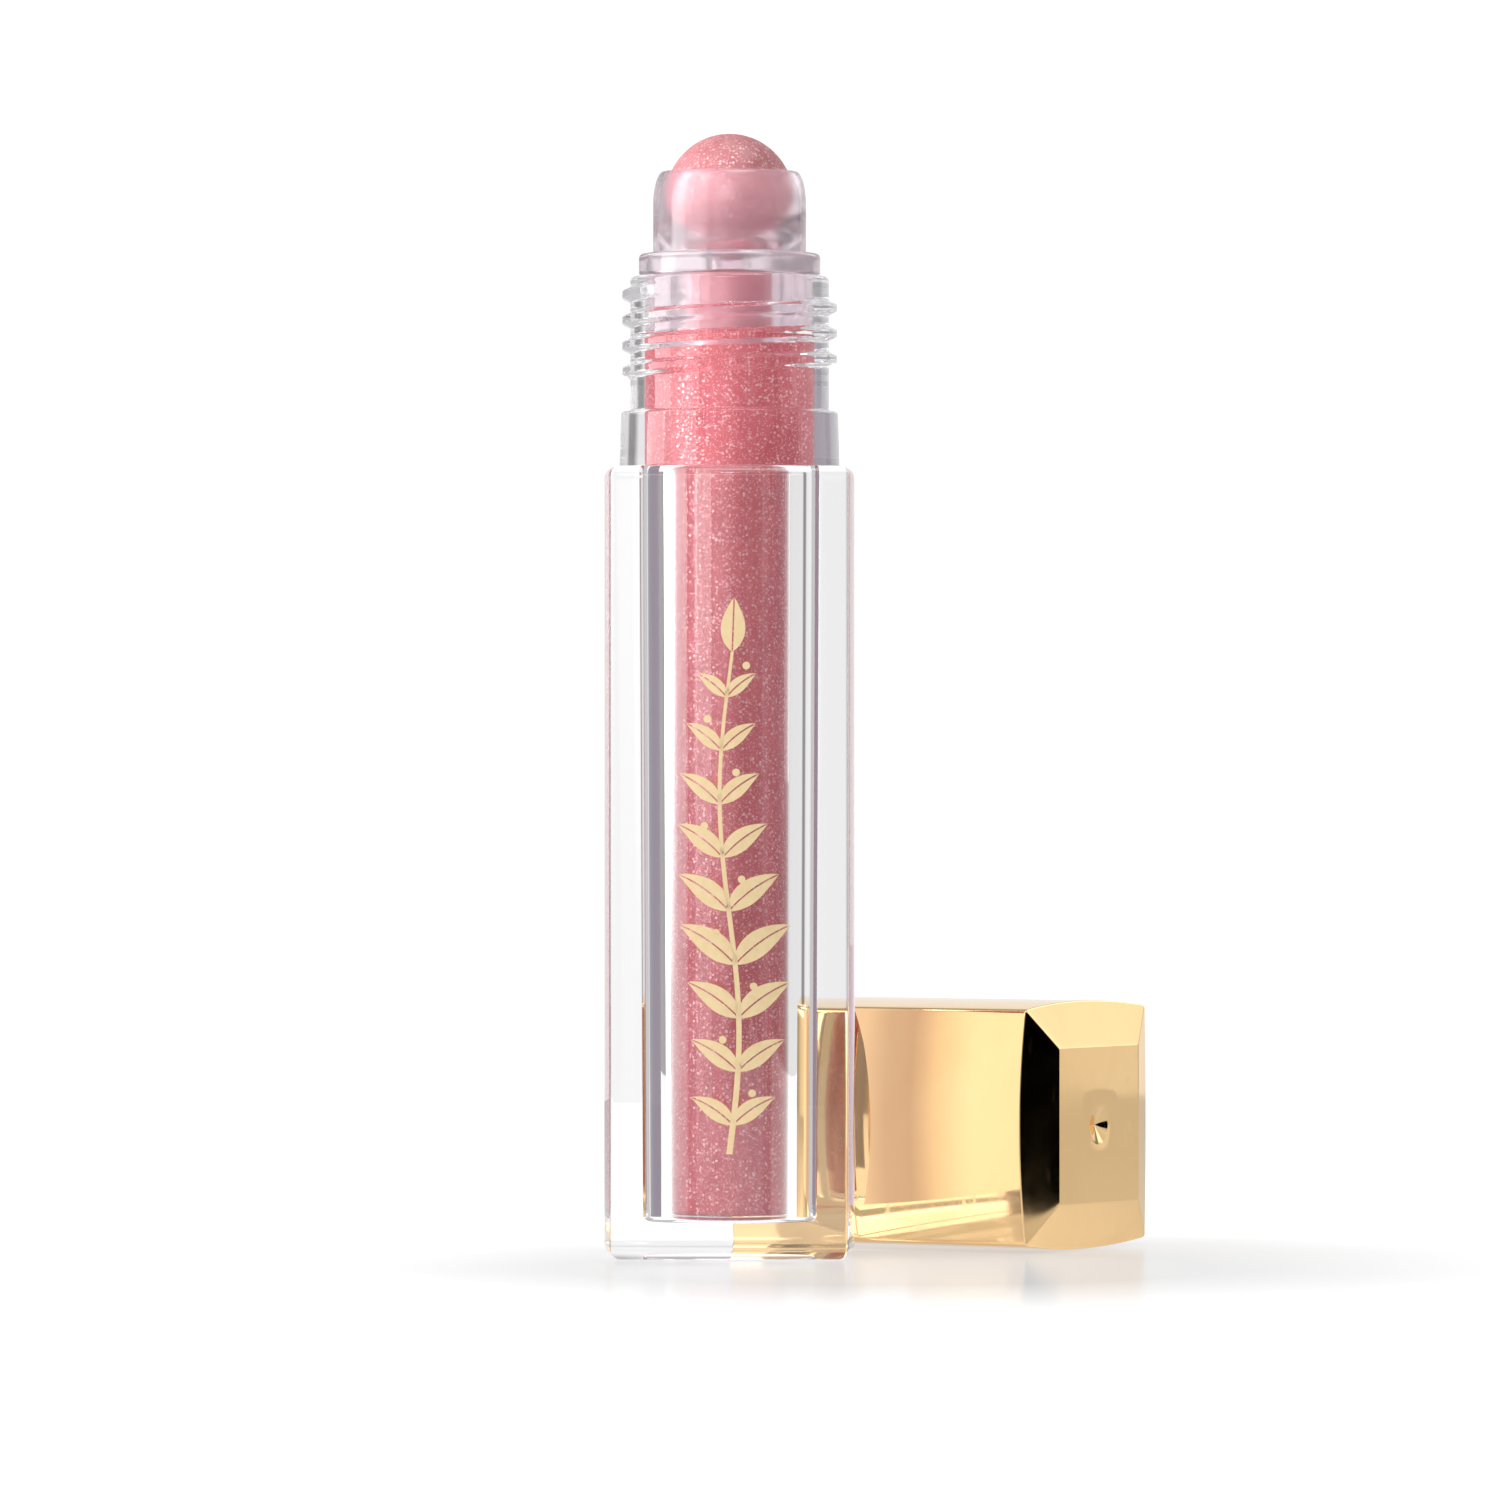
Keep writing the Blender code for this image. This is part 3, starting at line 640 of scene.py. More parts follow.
class BuildGloss(bpy.types.Operator):
    """Builds the pink gloss that fills the vial and wets its wall"""
    bl_idname = "glosstube.gloss"
    bl_label = "Gloss"

    def execute(self, context):
        size = context.scene.gloss_tube_sizes
        wet = 0.04 * MM                      # the gloss wets the wall, so it reaches just into it
        z0 = VIAL[0][2] + VIAL_FLOOR - wet
        plug_z = HOUSING[0][2]
        r, skirt = size.vial_bore + wet, PLUG_BORE_R - 0.025 * MM
        profile = [(0.0, z0), (2.0 * MM, z0)] + arc(r - FILLET, z0 + FILLET, FILLET, -90, 0, 6)
        profile += [(r, plug_z - 0.10 * MM)] + arc(r - 0.12 * MM, plug_z - 0.14 * MM, 0.12 * MM, 0, 90, 4)
        profile += [(skirt, plug_z - 0.02 * MM), (skirt, RIM_Z - 0.1 * MM), (0.0, RIM_Z - 0.1 * MM)]
        obj = turned("rose_gloss", supported(profile), around=180)
        mat = gloss_material("rose shimmer gloss", context.scene.gloss_tube_colours.gloss)
        finish_piece(obj, mat, "tube", "rose_gloss", "gloss_fill")
        return {'FINISHED'}


class BuildRollerHousing(bpy.types.Operator):
    """Builds the milky housing: plug, flange, wall and the cup round the ball"""
    bl_idname = "glosstube.roller_housing"
    bl_label = "Roller housing"

    def execute(self, context):
        flange_z, plug_z, top_z = RIM_Z + 0.03 * MM, HOUSING[0][2], HOUSING[1][2]
        plug_r, flange_r, wall_r, cup_r = 4.40 * MM, 7.11 * MM, 6.0 * MM, BALL_R + 0.05 * MM
        rise = top_z - BALL_Z
        mouth = math.sqrt(cup_r ** 2 - rise ** 2)
        lip = mouth + 0.58 * MM
        low = top_z - 2.74 * MM
        profile = [(PLUG_BORE_R, plug_z), (plug_r - 0.25 * MM, plug_z), (plug_r, plug_z + 0.3 * MM),
                   (plug_r, flange_z - 0.01 * MM)]
        profile += arc(flange_r - 0.3 * MM, flange_z + 0.3 * MM, 0.3 * MM, -90, 0, 6)
        profile += arc(flange_r - 0.35 * MM, flange_z + 1.4 * MM, 0.35 * MM, 0, 90, 8)
        profile += arc(wall_r + 0.12 * MM, flange_z + 1.87 * MM, 0.12 * MM, 270, 180, 4)
        bend = wall_r - lip
        for a in np.radians(90.0 * np.arange(22) / 22):
            profile.append((lip + bend * math.cos(a), low + (top_z - low) * math.sin(a)))
        profile += [(lip - 0.02 * MM, top_z)]
        profile += arc(mouth + 0.08 * MM, top_z - 0.08 * MM, 0.08 * MM, 90, 170, 4)
        a0, a1 = math.asin((rise - 0.1 * MM) / cup_r), -math.acos(FEED_HOLE_R / cup_r)
        profile += arc(0.0, BALL_Z, cup_r, math.degrees(a0), math.degrees(a1), 40)
        profile += [(FEED_HOLE_R, flange_z + 0.03 * MM), (PLUG_BORE_R, flange_z + 0.03 * MM)]
        obj = turned("milky_housing", supported(profile), sharp=50.0)
        colours = context.scene.gloss_tube_colours
        mat = milky_material("milky plastic", colours.housing)
        finish_piece(obj, mat, "tube", "milky_plastic", "roller_housing")
        return {'FINISHED'}


class BuildRollerBall(bpy.types.Operator):
    """Builds the roller ball, wet with gloss"""
    bl_idname = "glosstube.roller_ball"
    bl_label = "Roller ball"

    def execute(self, context):
        side = arc(0.0, BALL_Z, BALL_R, -88.5, 88.5, 117)
        profile = [(0.0, BALL_Z - BALL_R)] + side + [(0.0, BALL_Z + BALL_R)]
        obj = turned("coated_ball", profile)
        mat = gloss_material("gloss on the ball", (0.60, 0.22, 0.24), rough=0.6)
        finish_piece(obj, mat, "ball", "coated_ball", "roller_ball")
        return {'FINISHED'}


# ------------------------------------------------------------------ the foil sprig

class BuildFoilSprig(bpy.types.Operator):
    """Builds the gold foil sprig on the sleeve's front"""
    bl_idname = "glosstube.foil_sprig"
    bl_label = "Foil sprig"

    def execute(self, context):
        size = context.scene.gloss_tube_sizes
        chord = HALF - size.bow
        big = (chord ** 2 + size.bow ** 2) / (2 * size.bow)
        sunk, thick, least = 0.004 * MM, 0.012 * MM, 0.004 * MM
        points, faces = [], []

        def skin(x, z, depth):
            return (x, -(HALF - sunk - (big - math.sqrt(big ** 2 - x ** 2))) + depth, z)

        def strip(rows):
            """A thin closed plate through pairs of edge points lying on the sleeve's front."""
            first = len(points)
            for (xa, za), (xb, zb) in rows:
                for depth in (0.0, thick):
                    points.append(skin(xa, za, depth))
                    points.append(skin(xb, zb, depth))
            n = len(rows)
            for i in range(n - 1):
                a, b = first + 4 * i, first + 4 * (i + 1)
                faces.extend(((a, b, b + 1, a + 1), (a + 2, a + 3, b + 3, b + 2),
                              (a, a + 2, b + 2, b), (a + 1, b + 1, b + 3, a + 3)))
            z = first + 4 * (n - 1)
            faces.extend(((first, first + 1, first + 3, first + 2), (z, z + 2, z + 3, z + 1)))

        low, high = 8.2 * MM, 47.0 * MM

        def stem(t):
            return (0.75 * MM * math.sin(t * 2.1 * math.pi), low + (high - low) * t)

        rows = []
        for i in range(81):
            t = i / 80
            x, z = stem(t)
            w = (0.24 - 0.12 * t) * MM
            rows.append(((x - w, z), (x + w, z)))
        strip(rows)

        def leaf(root, angle, length, width, curl):
            for side in (-1, 1):
                rows = []
                for i in range(25):
                    u = i / 24
                    bend = angle + curl * u
                    along = length * u
                    x0 = root[0] + along * math.cos(angle + curl * u / 2)
                    z0 = root[1] + along * math.sin(angle + curl * u / 2)
                    full = width / 2 * math.sin(math.pi * u ** 0.8) ** 0.9 if 0 < u < 1 else 0.0
                    gap = min(0.06 * MM, full * 0.4)
                    nx, nz = -math.sin(bend) * side, math.cos(bend) * side
                    a = (x0 + nx * gap, z0 + nz * gap)
                    reach = max(full, gap + least)
                    b = (x0 + nx * reach, z0 + nz * reach)
                    rows.append((a, b) if side > 0 else (b, a))
                strip(rows)

        def disc(x, z, r):
            rows = []
            for i in range(17):
                a = math.pi * i / 16
                w = max(r * math.sin(a), least)
                rows.append(((x - w, z - r * math.cos(a)), (x + w, z - r * math.cos(a))))
            strip(rows)

        steps = 9
        for i in range(steps):
            t = (i + 0.55) / (steps + 0.4)
            root = stem(t)
            grow = (1.0 - 0.42 * abs(2 * t - 0.75)) * MM
            for side in (-1, 1):
                lift = math.radians(46 + 6 * t)
                angle = lift if side > 0 else math.pi - lift
                leaf(root, angle, 5.3 * grow, 2.0 * grow, -side * 0.45)
            x, z = stem(t + 0.055)
            disc(x + 1.25 * MM * (-1) ** i, z + 0.3 * MM, 0.30 * MM)
        leaf(stem(1.0), math.radians(88), 4.2 * MM, 1.9 * MM, 0.0)
        mesh = bpy.data.meshes.new("foil_sprig")
        mesh.from_pydata(points, [], faces)
        obj = bpy.data.objects.new("foil_sprig", mesh)
        context.scene.collection.objects.link(obj)
        colours = context.scene.gloss_tube_colours
        finish_piece(obj, foil_material("gold foil", colours.foil), "tube", "gold_shell")
        return {'FINISHED'}


# ------------------------------------------------------------------ the cap

def cap_place():
    """Where the cap lies: its open rim's centre, the directions across, up and along it, and its length."""
    mesh = bpy.data.objects["cap_shell"].data
    co = np.empty(len(mesh.vertices) * 3, np.float32)
    mesh.vertices.foreach_get("co", co)
    co = co.reshape(-1, 3).astype(np.float64)
    along = np.array((math.cos(CAP_TURN), -math.sin(CAP_TURN), 0.0))
    across = np.array((-along[1], along[0], 0.0))
    reach, side = co @ along, co @ across
    mouth = along * reach.min() + across * (side.min() + side.max()) / 2
    mouth[2] = (co[:, 2].min() + co[:, 2].max()) / 2
    return mouth, np.vstack((across, (0.0, 0.0, 1.0), along)), reach.max() - reach.min()


def lay_down(rings):
    """Moves rings modelled upright on Z to where the cap lies."""
    mouth, turn, _ = cap_place()
    return [mouth + ring @ turn for ring in rings]


def smooth_max(a, b, soft):
    return (a + b) / 2 + np.sqrt((a - b) ** 2 + soft ** 2) / 2


class BuildCapShell(bpy.types.Operator):
    """Builds the polished gold shell with its bevelled end and centre dimple"""
    bl_idname = "glosstube.cap_shell"
    bl_label = "Cap shell"

    def execute(self, context):
        size = context.scene.gloss_tube_sizes
        length = cap_place()[2]
        edge, rim_r, lip_r, wall = 0.13 * MM, 0.12 * MM, 0.08 * MM, size.cap_wall
        dimple_r, dimple_d = 1.575 * MM, 0.5 * MM
        half = HALF - BEVEL_IN

        def outline(inset, z):
            return at_height(section(inset, size.bow, size.corner), z)

        def square(reach):
            return side * (reach / largest(side)[:, None])

        def roof(flat, soft=0.10 * MM):
            over = smooth_max(np.abs(flat[:, 0]), np.abs(flat[:, 1]), soft) - half
            return length - BEVEL_SLOPE * (over + np.sqrt(over ** 2 + (0.07 * MM) ** 2)) / 2

        rings = [pole(length - dimple_d)]
        for r in np.linspace(0.05, dimple_r / MM - 0.12, 14) * MM:
            z = length - dimple_d * (1 - math.sqrt((r / dimple_r) ** 2 + 0.0004))
            rings.append(at_height(circle(r, ROUND_SQUARE), z))
        for r in np.linspace(dimple_r / MM - 0.10, dimple_r / MM + 0.10, 9) * MM:
            over = dimple_r - r
            z = length - dimple_d / dimple_r * (over + math.sqrt(over ** 2 + (0.05 * MM) ** 2)) / 2
            rings.append(at_height(circle(r, ROUND_SQUARE), z))
        side = section(0.0, size.bow, size.corner)
        rim, inner = circle(dimple_r + 0.14 * MM, ROUND_SQUARE), square(half - 0.25 * MM)
        start, stop = square(half + 0.3 * MM), section(edge + 0.04 * MM, size.bow, size.corner)
        flats = [rim * (1 - t) + inner * t for t in (0.0, 0.3, 0.7, 1.0)]
        flats += [square(half + m * MM) for m in (-0.15, -0.08, -0.04, 0.0, 0.04, 0.08, 0.15, 0.3)]
        flats += [start * (1 - t) + stop * t for t in (0.15, 0.3, 0.45, 0.6, 0.75, 0.9, 1.0)]
        rings += [at_height(flat, roof(flat)) for flat in flats]
        first = math.radians(22.0)      # where the rounded edge leaves the bevel
        top = roof(section(edge * (1 - math.sin(first)), size.bow, size.corner))
        for k in range(11):
            a = math.radians(22.0 + 68.0 * k / 10)
            rings.append(outline(edge * (1 - math.sin(a)), top - edge * (math.cos(first) - math.cos(a))))
        rings += [at_height(side, rings[-1][:, 2] - 0.05 * MM), at_height(side, rim_r + 0.05 * MM)]
        for a in np.radians(90.0 * np.arange(6) / 5):
            rings.append(outline(rim_r * (1 - math.cos(a)), rim_r * (1 - math.sin(a))))
        rings.append(outline(wall - 0.12 * MM, 0.0))
        for a in np.radians(90.0 * np.arange(5) / 4):
            rings.append(outline(wall - lip_r * (1 - math.sin(a)), lip_r * (1 - math.cos(a))))
        inside = section(wall, size.bow, size.corner)
        half_in = half - wall * BEVEL_SHRINK
        ceiling = length - CAP_END_WALL
        top_z = ceiling - (largest(inside) - half_in) * BEVEL_SLOPE
        rings += [at_height(inside, z) for z in (0.15 * MM, top_z - 0.1 * MM, top_z)]
        rings += [at_height(inside * (half_in / largest(inside)[:, None]), ceiling), pole(ceiling)]
        obj = loft("gold_shell", lay_down(rings), sharp=35.0)
        colours = context.scene.gloss_tube_colours
        mat = gold_material("polished gold", colours.gold, 0.035, 0.35, 0.5)
        finish_piece(obj, mat, "cap", "gold_shell", "cap_shell")
        return {'FINISHED'}


class BuildCapLiner(bpy.types.Operator):
    """Builds the threaded liner inside the cap and the soft pad over the ball"""
    bl_idname = "glosstube.cap_liner"
    bl_label = "Cap liner and pad"

    def execute(self, context):
        size = context.scene.gloss_tube_sizes
        inset = size.cap_wall + 0.10 * MM
        end = cap_place()[2] - CAP_END_WALL - 0.10 * MM
        ceiling = end - 0.35 * MM
        mouth_z, step_z = 4.73 * MM, RIM_Z - SLEEVE_TOP + 0.28 * MM
        neck_z, shelf_z = step_z + 2.06 * MM, HOUSING[1][2] - SLEEVE_TOP + 0.56 * MM
        bore, ring_r, top_r, pocket, edge = 8.55 * MM, 7.39 * MM, 6.28 * MM, 4.98 * MM, 0.1 * MM
        outer = section(inset, size.bow, size.corner)
        half = HALF - BEVEL_IN - inset * BEVEL_SHRINK
        roof = end - (largest(outer) - half) * BEVEL_SLOPE
        rings = [pole(end), at_height(outer * (half / largest(outer)[:, None]), end), at_height(outer, roof),
                 at_height(outer, roof - edge), at_height(outer, mouth_z + 0.15 * MM)]
        for a in np.radians(90.0 * np.arange(5) / 4):
            rings.append(at_height(section(inset + edge * (1 - math.cos(a)), size.bow, size.corner),
                                   mouth_z + edge * (1 - math.sin(a))))
        rows, wall_z = 130, mouth_z + 0.3 * MM
        profile = [(bore + 0.16 * MM, mouth_z), (bore + 0.14 * MM, mouth_z + edge)]
        profile += [(bore, wall_z + (step_z - wall_z) * i / rows) for i in range(rows)]
        profile += supported([(bore, step_z), (ring_r, step_z + 0.2 * MM), (ring_r, neck_z),
                              (top_r, neck_z + 0.3 * MM), (top_r, shelf_z), (pocket, shelf_z + 0.3 * MM),
                              (pocket, ceiling)])
        top = RIM_Z - 1.23 * MM - SLEEVE_TOP - 1.5 * size.pitch
        a = -math.pi / 4 + 2 * math.pi * np.arange(ROUND_SQUARE) / ROUND_SQUARE
        for r, z in profile:
            if abs(r - bore) < 1e-9:
                r -= ridge_height(a, z, top, 220.0, 2.0, size.pitch, 1.2 * MM, 0.45 * MM, RIDGE_DEPTH)
            rings.append(spun(r, a, z))
        rings.append(pole(ceiling))
        liner = loft("threaded_liner", lay_down(rings))
        mat = moulded_material("natural plastic", (0.80, 0.79, 0.76), 0.34, 0.4)
        finish_piece(liner, mat, "cap", "natural_liner", "cap_liner")

        bowl, mid = BALL_R + 0.10 * MM, BALL_Z - SLEEVE_TOP
        skirt = mid + bowl - 1.5 * MM
        hem = math.degrees(math.asin((skirt - mid) / bowl))
        pad_r, pad_top, hem_r = pocket - 0.03 * MM, mid + bowl + 0.65 * MM, 0.15 * MM
        profile = [(0.0, mid + bowl)] + arc(0, mid, bowl, 90, hem, 24)[1:]
        profile += arc(pad_r - hem_r, skirt + hem_r, hem_r, -90, 0, 5)
        profile += [(pad_r, pad_top), (0.0, pad_top)]
        a = 2 * math.pi * np.arange(120) / 120
        rings = [pole(z) if r < 1e-9 else spun(r, a, z) for r, z in supported(profile)]
        pad = loft("soft_pad", lay_down(rings))
        mat = moulded_material("soft pad", (0.86, 0.84, 0.82), 0.6, 0.2)
        finish_piece(pad, mat, "cap", "soft_pad", "cap_seal")
        return {'FINISHED'}


# ------------------------------------------------------------------ stage

def floor_material(colour):
    """Pale polished floor, lifted to an even white, with a faint soft reflection."""
    mat, nodes, links, shader = new_material("studio floor")
    nodes.remove(shader)
    matte = add(nodes, "ShaderNodeBsdfDiffuse", (0, 200), Color=(*colour, 1.0))
    polish = add(nodes, "ShaderNodeBsdfGlossy", (0, 0), Roughness=0.13)
    coord = nodes.new("ShaderNodeTexCoord")
    reach = add(nodes, "ShaderNodeVectorMath", operation='DISTANCE')
    links.new(coord.outputs["Object"], reach.inputs[0])
    reach.inputs[1].default_value = (0.012, -0.020, 0.0)
    fade = math_node(nodes, links, 'MULTIPLY_ADD', reach.outputs["Value"], -1 / 0.050, 1.5, clamp=True)
    gleam = math_node(nodes, links, 'MULTIPLY_ADD', fade, 0.30, 0.02)
    both = mix_shader(nodes, links, gleam, matte.outputs[0], polish.outputs[0], (300, 200))
    lift = add(nodes, "ShaderNodeEmission", (300, -100))
    path = add(nodes, "ShaderNodeLightPath", (0, -300))
    even = math_node(nodes, links, 'MULTIPLY_ADD', fade, -0.54, 0.62)
    glow = math_node(nodes, links, 'MULTIPLY_ADD', path.outputs["Is Camera Ray"], even, 0.34)
    for ray, more in (("Transmission", 0.42), ("Glossy", 0.12), ("Diffuse", -0.18)):
        glow = math_node(nodes, links, 'MULTIPLY_ADD', path.outputs[f"Is {ray} Ray"], more, glow)
    links.new(glow, lift.inputs["Strength"])
    total = add(nodes, "ShaderNodeAddShader", (600, 200))
    links.new(both, total.inputs[0])
    links.new(lift.outputs[0], total.inputs[1])
    links.new(total.outputs[0], nodes["Material Output"].inputs["Surface"])
    return mat


def card(name, radius, start, stop, height, colour, low, high, diffuse=True, glossy=True,
         transmission=True, foot=0.0):
    """A curved studio card from one azimuth to another, lit from low at its foot to high above.

    colour is one colour, or (azimuth, red, green, blue) rows that it blends between. The camera doesn't
    see a card, and a card throws no shadow."""
    count, dim_to, rise_over = 24, 0.35, 0.045
    mesh = bpy.data.meshes.new(name)
    rows = np.array(colour) if np.ndim(colour) == 2 else np.array([(start, *colour), (stop, *colour)])
    azimuths = np.linspace(start, stop, count + 1)
    mesh.from_pydata([(radius * math.cos(a), radius * math.sin(a), z)
                      for a in np.radians(azimuths) for z in (foot, height)],
                     [], [(2 * i, 2 * i + 2, 2 * i + 3, 2 * i + 1) for i in range(count)])
    layer = mesh.color_attributes.new("tone", 'FLOAT_COLOR', 'POINT')
    for i, point in enumerate(layer.data):
        point.color = (*(float(np.interp(azimuths[i // 2], rows[:, 0], rows[:, c])) for c in (1, 2, 3)), 1.0)
    obj = bpy.data.objects.new(name, mesh)
    bpy.context.scene.collection.objects.link(obj)
    mat, nodes, links, shader = new_material(name.replace("_", " "))
    nodes.remove(shader)
    coord = nodes.new("ShaderNodeTexCoord")
    split = nodes.new("ShaderNodeSeparateXYZ")
    links.new(coord.outputs["Object"], split.inputs[0])
    glow = nodes.new("ShaderNodeEmission")
    tone = add(nodes, "ShaderNodeAttribute", attribute_name="tone")
    links.new(tone.outputs["Color"], glow.inputs["Color"])
    rise = math_node(nodes, links, 'MULTIPLY_ADD', split.outputs[2], 1 / rise_over, -dim_to, clamp=True)
    links.new(math_node(nodes, links, 'MULTIPLY_ADD', rise, high - low, low), glow.inputs["Strength"])
    links.new(glow.outputs[0], nodes["Material Output"].inputs["Surface"])
    mesh.materials.append(mat)
    obj.visible_camera = obj.visible_shadow = False
    obj.visible_diffuse, obj.visible_glossy, obj.visible_transmission = diffuse, glossy, transmission


class BuildStage(bpy.types.Operator):
    """Builds the pale floor, the soft lights, the surroundings and the camera"""
    bl_idname = "glosstube.stage"
    bl_label = "Stage"

    def execute(self, context):
        scene = context.scene
        colours = scene.gloss_tube_colours
        w = 0.35
        mesh = bpy.data.meshes.new("studio_floor")
        mesh.from_pydata([(-w, -w, 0), (w, -w, 0), (w, w, 0), (-w, w, 0)], [], [(0, 1, 2, 3)])
        floor = bpy.data.objects.new("studio_floor", mesh)
        floor.location.z = -0.00005
        scene.collection.objects.link(floor)
        mesh.materials.append(floor_material(colours.floor))

        # a tall lit card close by on the left front: the key light, and the bright edge in glass and gold
        card("white_card", 0.130, -176, -124, 0.26, (1.0, 0.99, 0.97), 1.6, 2.9)
        # a brighter strip at its left, which draws the long highlight down the neck
        card("bright_strip", 0.128, -184, -160, 0.26, (1.0, 0.98, 0.98), 1.45, 6.0)
        # an unlit card on the left back, seen only through the clear walls
        card("grey_card", 0.050, 118, 166, 0.075, (0.30, 0.27, 0.32), 1.0, 1.0,
             diffuse=False, glossy=False)
        # a low black card on the right, seen only in the cap's near bevel
        card("black_card", 0.085, -27, 2, 0.030, (0.0, 0.0, 0.0), 0.0, 0.0,
             diffuse=False, transmission=False)
        # a pale glowing card between the tube and the cap, which the gold and the clear walls mirror; it lights
        # nothing, and its pale, lilac and pink bands are a painted reflection of the tube in the gold
        tones = ((-44, 1.35, 1.30, 1.26), (6, 1.35, 1.30, 1.26), (16, 1.10, 1.02, 0.98),
                 (24, 0.74, 0.64, 0.70), (34, 0.78, 0.70, 0.76), (41, 1.00, 0.92, 1.00), (53, 1.00, 0.92, 1.00))
        card("painted_reflection_card", 0.0140, -44, 53, 0.024, tones, 1.0, 1.0,
             diffuse=False, transmission=False, foot=0.0035)

        world = bpy.data.worlds.new("studio surroundings")
        scene.world = world
        world.use_nodes = True
        nodes, links = world.node_tree.nodes, world.node_tree.links
        coord = nodes.new("ShaderNodeTexCoord")
        split = nodes.new("ShaderNodeSeparateXYZ")
        links.new(coord.outputs["Generated"], split.inputs[0])
        turn = math_node(nodes, links, 'ARCTAN2', split.outputs[1], split.outputs[0])
        turn = math_node(nodes, links, 'MULTIPLY_ADD', turn, 1 / (2 * math.pi), 0.5)
        tones = ((-180, 0.35), (-168, 0.5), (-124, 0.7), (-108, 1.1), (-96, 0.9), (-84, 0.35), (-64, 0.18),
                 (-34, 0.18), (-28, 0.26), (-12, 0.26), (-3, 0.82), (30, 0.84), (34, 0.28), (41, 0.28),
                 (46, 0.88), (90, 0.93), (104, 0.88), (111, 0.38), (130, 0.24), (155, 0.40), (180, 0.35))
        grey = ramp(nodes, links, turn, [(0.5 + az / 360, (v, v, v)) for az, v in tones], (0, 0))
        up = math_node(nodes, links, 'MULTIPLY_ADD', split.outputs[2], 3.0, -0.6, clamp=True)
        path = nodes.new("ShaderNodeLightPath")
        sky = mix_colour(nodes, links, up, grey, (0.46, 0.45, 0.46))
        seen = mix_colour(nodes, links, path.outputs["Is Camera Ray"], sky, (1.1, 1.1, 1.1))
        links.new(seen, nodes["Background"].inputs["Color"])
        calm = math_node(nodes, links, 'MULTIPLY_ADD', path.outputs["Is Diffuse Ray"], -0.7, 1.0)
        links.new(calm, nodes["Background"].inputs["Strength"])

        def lamp(name, where, aim, wide, tall, glow, diffuse=True):
            """A soft lamp. glow is how bright its face looks."""
            light = bpy.data.lights.new(name, 'AREA')
            light.shape = 'RECTANGLE'
            light.size, light.size_y = wide, tall
            light.energy = glow * math.pi * wide * tall
            obj = bpy.data.objects.new(name, light)
            scene.collection.objects.link(obj)
            obj.location = where
            obj.visible_diffuse = diffuse
            away = np.array(aim) - np.array(where)
            flat = math.hypot(away[0], away[1])
            obj.rotation_euler = (math.atan2(flat, -away[2]), 0.0, math.atan2(-away[0], away[1]))

        lamp("right_strip", (0.39, -0.07, 0.13), (0.0, 0.0, 0.06), 0.05, 0.20, 0.8)
        lamp("back_softbox", (0.47, 0.31, 0.26), (0.03, 0.01, 0.01), 0.36, 0.22, 0.80)
        lamp("right_back_rim", (0.22, 0.22, 0.24), (0.0, 0.0, 0.03), 0.16, 0.20, 1.0)
        lamp("foil_light", (-0.04, -0.82, 0.24), (0.0, 0.0, 0.03), 0.34, 0.13, 2.4, diffuse=False)
        lamp("top_softbox", (0.09, -0.12, 0.50), (0.0, 0.0, 0.06), 0.24, 0.20, 4.5)
        lamp("front_glint", (0.0, -0.60, 0.42), (0.0, 0.0, 0.08), 0.03, 0.03, 18.0)
        sun = bpy.data.lights.new("soft_key", 'SUN')
        sun.energy, sun.angle = 0.3, math.radians(35)
        key = bpy.data.objects.new("soft_key", sun)
        scene.collection.objects.link(key)
        key.rotation_euler = (math.radians(38), 0.0, math.radians(-50))

        cam = bpy.data.cameras.new("camera")
        cam.sensor_width = 36.0
        away, seen_width = 0.80, 1.5 / 12.8      # its distance, and how wide a strip it takes in there
        cam.lens = cam.sensor_width * away / seen_width
        cam.clip_start, cam.clip_end = 0.01, 20.0
        view = bpy.data.objects.new("camera", cam)
        scene.collection.objects.link(view)
        view.location = (0.0016, -away, 0.0394)
        view.rotation_euler = (math.pi / 2, 0.0, 0.0)
        scene.camera = view
        scene.view_settings.view_transform = 'Standard'
        scene.view_settings.look = 'None'
        return {'FINISHED'}


# ------------------------------------------------------------------ panel and start

BUILDERS = (BuildOuterSleeve, BuildInnerVial, BuildGloss, BuildRollerHousing, BuildRollerBall,
            BuildFoilSprig, BuildCapShell, BuildCapLiner, BuildStage)


class GlossTubePanel(bpy.types.Panel):
    """Lists the tube's pieces, sizes and colours"""
    bl_idname = "VIEW3D_PT_gloss_tube"
    bl_label = "Lip Gloss Tube"
    bl_space_type = 'VIEW_3D'
    bl_region_type = 'UI'
    bl_category = "Gloss Tube"

    def draw(self, context):
        for group in (context.scene.gloss_tube_sizes, context.scene.gloss_tube_colours):
            column = self.layout.column(align=True)
            for key in group.bl_rna.properties.keys():
                if key not in ("rna_type", "name"):
                    column.prop(group, key)
        for builder in BUILDERS:
            self.layout.operator(builder.bl_idname)


CLASSES = (GlossTubeSizes, GlossTubeColours, *BUILDERS, GlossTubePanel)


def register():
    for cls in CLASSES:
        bpy.utils.register_class(cls)
    bpy.types.Scene.gloss_tube_sizes = bpy.props.PointerProperty(type=GlossTubeSizes)
    bpy.types.Scene.gloss_tube_colours = bpy.props.PointerProperty(type=GlossTubeColours)


def unregister():
    del bpy.types.Scene.gloss_tube_colours
    del bpy.types.Scene.gloss_tube_sizes
    for cls in reversed(CLASSES):
        bpy.utils.unregister_class(cls)


def main():
    register()
    bpy.ops.glosstube.outer_sleeve()
    bpy.ops.glosstube.inner_vial()
    bpy.ops.glosstube.gloss()
    bpy.ops.glosstube.roller_housing()
    bpy.ops.glosstube.roller_ball()
    bpy.ops.glosstube.foil_sprig()
    bpy.ops.glosstube.cap_shell()
    bpy.ops.glosstube.cap_liner()
    bpy.ops.glosstube.stage()


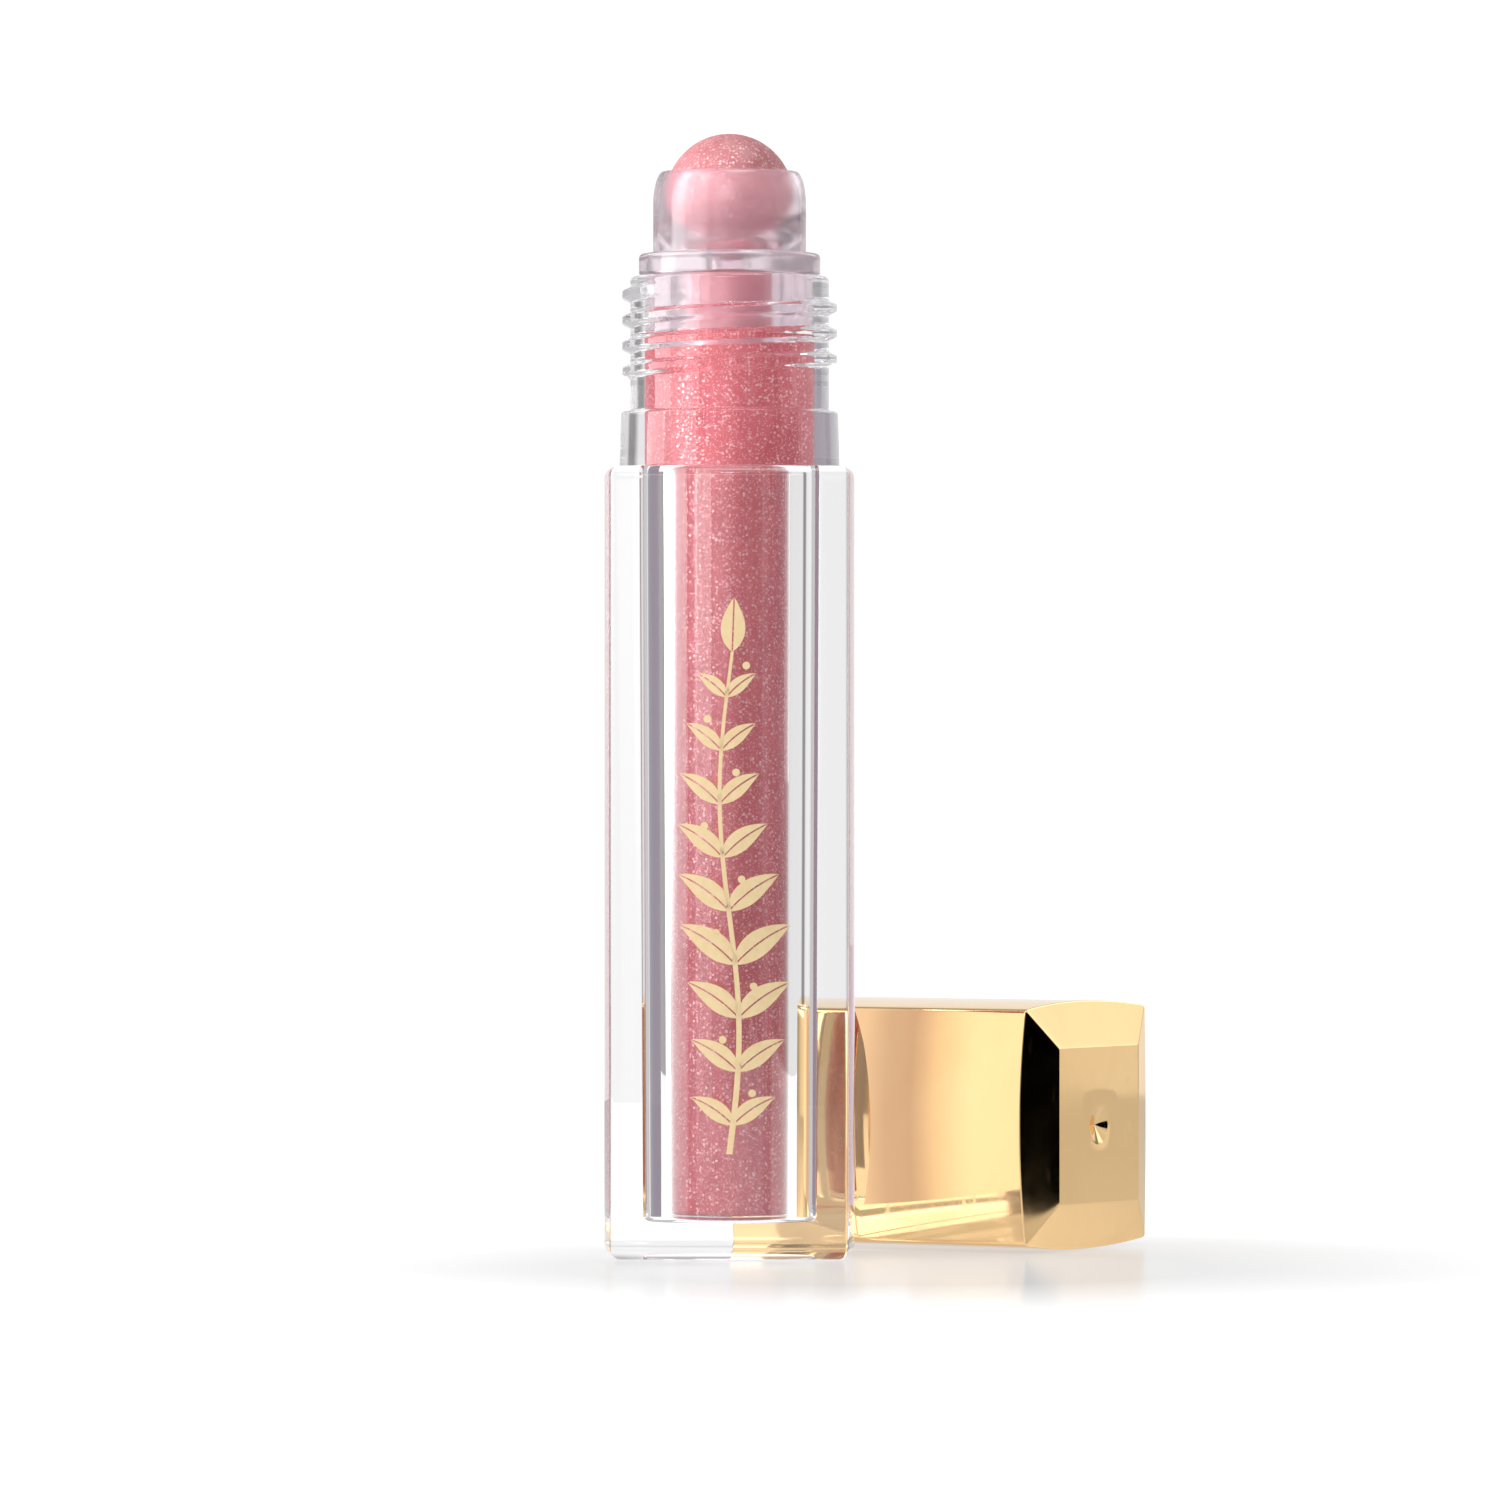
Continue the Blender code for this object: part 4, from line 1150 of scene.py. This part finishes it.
if __name__ == "__main__":
    main()
